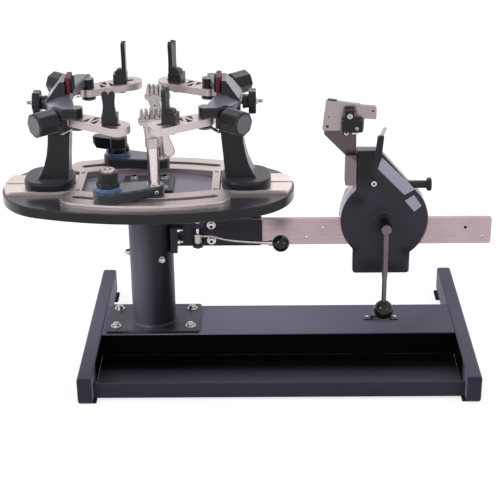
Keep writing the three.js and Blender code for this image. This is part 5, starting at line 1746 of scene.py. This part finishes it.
class STRINGER_OT_gripper(bpy.types.Operator):
    """Builds the gripper on the head's left side."""

    bl_idname = "stringer.gripper"
    bl_label = "Gripper"

    def execute(self, context):
        edge = in_mm(sizes().machined_edge)
        dress("gripper_arm", "head", "satin_steel", "Dark steel", edge=edge)
        dress("gripper_plate", "head", "satin_steel", "Gripper steel", edge=edge)
        dress("gripper_jaw", "jaw", "black_plastic", "Black plastic", edge=0.9)
        place_piece("gripper_backing", "head", "black_plastic", "Crank steel", gripper_backing())
        place_piece("gripper_strip", "head", "black_plastic", "Black plastic", gripper_strip())
        place_piece("gripper_screws", "head", "bright_steel", "Crank steel", gripper_screws())
        place_piece("flare_screw", "head", "bright_steel", "Bright steel", flare_screw())
        place_piece("flare_washer", "head", "black_plastic", "Black plastic", flare_washer())
        place_piece("gripper_jaw_screws", "jaw", "bright_steel", "Bright steel", gripper_jaw_screws())
        return {"FINISHED"}


def crank_islands():
    """The hub, the shaft and the tapered arm that hangs from the hub."""
    axis = head_place()
    hub = [(0, 64), (9.5, 64), (9.5, 73), (8.6, 78), (7.4, 79), (0, 79)]
    shaft = peg(6, -24, 66, edge=0.5, steps=40)
    arm = [(0, -133), (3.8, -133), (3.8, -90), (4.8, -80), (5, -2), (0, -2)]
    return [
        (lathe(hub, edge=0.7, steps=48), standing(*axis)),
        (shaft, standing(*axis)),
        (lathe(arm, edge=0.4, steps=40), at(axis.x, -72, axis.z)),
    ]


def crank_pinion():
    """The pinion, cut off the coarse crank."""
    bm = copied("crank_arm", 0)
    for depth, away in ((PINION_FRONT, FRONTWARD), (PINION_BACK, BACKWARD)):
        bmesh.ops.holes_fill(bm, edges=cut_rim(bm, (0, depth, 0), away))
    bmesh.ops.recalc_face_normals(bm, faces=bm.faces[:])
    round_edges(bm, 0.25, segments=1)
    return [(bm, Matrix())]


class STRINGER_OT_crank(bpy.types.Operator):
    """Builds the crank, its ball and the pinion on the rack."""

    bl_idname = "stringer.crank"
    bl_label = "Crank"

    def execute(self, context):
        islands = crank_islands() + crank_pinion()
        place_piece("crank_steelwork", "crank", "bright_steel", "Crank steel", islands, "crank_arm")
        spot = middle("crank_ball")
        grip = [(ball(16, flat=7), at(spot.x, spot.y, spot.z))]
        place_piece("crank_grip", "crank", "black_plastic", "Ball black", grip, "crank_ball")
        return {"FINISHED"}


# The studio

# Each soft lamp's place, the height that it looks at and its size, in metres
LAMPS = {
    "key": ((-1.6, -1.7, 1.9), 0.25, 0.9),
    "fill": ((1.9, -1.8, 1.2), 0.25, 1.2),
    "top": ((0.3, 1.3, 2.3), 0.3, 1.8),
}
FLOOR_RADIUS = 14
# The camera's place in metres, and its yaw, pitch and roll in degrees, from a fit to the photograph
CAMERA_PLACE = (0.0282, -1.996, 1.1061)
CAMERA_TURN = (-0.758, 24.927, -0.715)
FILM_WIDTH = 36
FARTHEST = 60


def seen_ray(tree):
    """One for what the camera, a reflection or a clear material sees, and nothing for other light."""
    path = new_node(tree, "ShaderNodeLightPath")
    either = new_node(tree, "ShaderNodeMath", operation="MAXIMUM")
    seen = new_node(tree, "ShaderNodeMath", operation="MAXIMUM")
    link(
        tree,
        (path, "Is Camera Ray", either, 0),
        (path, "Is Glossy Ray", either, 1),
        (either, "Value", seen, 0),
        (path, "Is Transmission Ray", seen, 1),
    )
    return seen


def floor_finish():
    """A pale floor that looks white and keeps the machine's shadow."""
    studio = bpy.context.scene.stringer_studio
    material = bpy.data.materials.new("Studio floor")
    material.use_nodes = True
    tree = material.node_tree
    shader = tree.nodes["Principled BSDF"]
    preset(shader, base_color=(*studio.floor, 1), roughness=0.9)
    shader.inputs["Specular IOR Level"].default_value = 0
    glow = new_node(tree, "ShaderNodeEmission")
    preset(glow, strength=studio.lift)
    catcher = new_node(tree, "ShaderNodeBsdfDiffuse")
    preset(catcher, color=(*studio.catcher, 1))
    white = new_node(tree, "ShaderNodeAddShader")
    pick = new_node(tree, "ShaderNodeMixShader")
    link(
        tree,
        (glow, "Emission", white, 0),
        (catcher, "BSDF", white, 1),
        (seen_ray(tree), "Value", pick, "Fac"),
        (shader, "BSDF", pick, 1),
        (white, "Shader", pick, 2),
        (pick, "Shader", tree.nodes["Material Output"], "Surface"),
    )
    return material


def studio_world():
    """Even light for the machine, and plain white for what looks at the world itself."""
    studio = bpy.context.scene.stringer_studio
    world = bpy.data.worlds.new("Studio")
    world.use_nodes = True
    tree = world.node_tree
    soft = tree.nodes["Background"]
    preset(soft, color=(*studio.sky_colour, 1), strength=studio.sky)
    white = new_node(tree, "ShaderNodeBackground")
    preset(white, color=(1, 1, 1, 1), strength=1)
    pick = new_node(tree, "ShaderNodeMixShader")
    link(
        tree,
        (seen_ray(tree), "Value", pick, "Fac"),
        (soft, "Background", pick, 1),
        (white, "Background", pick, 2),
        (pick, "Shader", tree.nodes["World Output"], "Surface"),
    )
    bpy.context.scene.world = world


def soft_lamp(key, power):
    place, height, size = LAMPS[key]
    lamp = bpy.data.lights.new(f"{key.title()} lamp", "AREA")
    lamp.shape = "DISK"
    lamp.size = size
    lamp.energy = power
    holder = bpy.data.objects.new(lamp.name, lamp)
    holder.location = place
    holder.rotation_euler = (Vector((0, 0, height)) - Vector(place)).to_track_quat("-Z", "Y").to_euler()
    bpy.context.scene.collection.objects.link(holder)


def photo_camera(lens):
    """The camera that a fit to the photograph gives."""
    yaw, pitch, roll = (math.radians(value) for value in CAMERA_TURN)
    forward = Vector((math.sin(yaw) * math.cos(pitch), math.cos(yaw) * math.cos(pitch), -math.sin(pitch)))
    level = Vector((math.cos(yaw), -math.sin(yaw), 0))
    upright = level.cross(forward)
    right = level * math.cos(roll) + upright * math.sin(roll)
    up = upright * math.cos(roll) - level * math.sin(roll)
    camera = bpy.data.cameras.new("Photo camera")
    camera.lens = lens
    camera.sensor_width = FILM_WIDTH
    camera.clip_end = FARTHEST
    holder = bpy.data.objects.new("Photo camera", camera)
    axes = Matrix((right, up, -forward)).transposed().to_4x4()
    holder.matrix_world = Matrix.Translation(CAMERA_PLACE) @ axes
    bpy.context.scene.collection.objects.link(holder)
    bpy.context.scene.camera = holder


class STRINGER_OT_studio(bpy.types.Operator):
    """Builds the floor, the soft lamps and the camera."""

    bl_idname = "stringer.studio"
    bl_label = "Studio"

    def execute(self, context):
        studio = context.scene.stringer_studio
        bm = new_island()
        bmesh.ops.create_circle(bm, cap_ends=True, radius=FLOOR_RADIUS, segments=96)
        mesh = bpy.data.meshes.new("studio_floor")
        bm.to_mesh(mesh)
        bm.free()
        mesh.materials.append(floor_finish())
        floor = bpy.data.objects.new("studio_floor", mesh)
        context.scene.collection.objects.link(floor)
        studio_world()
        for key in LAMPS:
            soft_lamp(key, getattr(studio, key))
        photo_camera(studio.lens)
        context.scene.view_settings.view_transform = "Standard"
        return {"FINISHED"}


STEPS = (
    STRINGER_OT_finishes,
    STRINGER_OT_base,
    STRINGER_OT_column,
    STRINGER_OT_rail,
    STRINGER_OT_turntable,
    STRINGER_OT_towers,
    STRINGER_OT_arms,
    STRINGER_OT_clamps,
    STRINGER_OT_head,
    STRINGER_OT_gripper,
    STRINGER_OT_crank,
    STRINGER_OT_studio,
)


class STRINGER_PT_panel(bpy.types.Panel):
    """Lists the sizes, the colours and the steps that build the machine."""

    bl_idname = "STRINGER_PT_panel"
    bl_label = "Stringing Machine"
    bl_space_type = "VIEW_3D"
    bl_region_type = "UI"
    bl_category = "Stringer"

    def draw(self, context):
        layout = self.layout
        for setting in SETTINGS:
            group = getattr(context.scene, setting)
            column = layout.box().column()
            for name in group.__annotations__:
                column.prop(group, name)
        for step in STEPS:
            layout.operator(step.bl_idname)


SETTINGS = {
    "stringer_sizes": StringerSizes,
    "stringer_colours": StringerColours,
    "stringer_studio": StringerStudio,
}


def register():
    for group in SETTINGS.values():
        bpy.utils.register_class(group)
    for name, group in SETTINGS.items():
        setattr(bpy.types.Scene, name, PointerProperty(type=group))
    for step in STEPS:
        bpy.utils.register_class(step)
    bpy.utils.register_class(STRINGER_PT_panel)


def unregister():
    bpy.utils.unregister_class(STRINGER_PT_panel)
    for step in reversed(STEPS):
        bpy.utils.unregister_class(step)
    for name in SETTINGS:
        delattr(bpy.types.Scene, name)
    for group in reversed(SETTINGS.values()):
        bpy.utils.unregister_class(group)


def main():
    register()
    for step in STEPS:
        family, action = step.bl_idname.split(".")
        getattr(getattr(bpy.ops, family), action)()


if __name__ == "__main__":
    main()
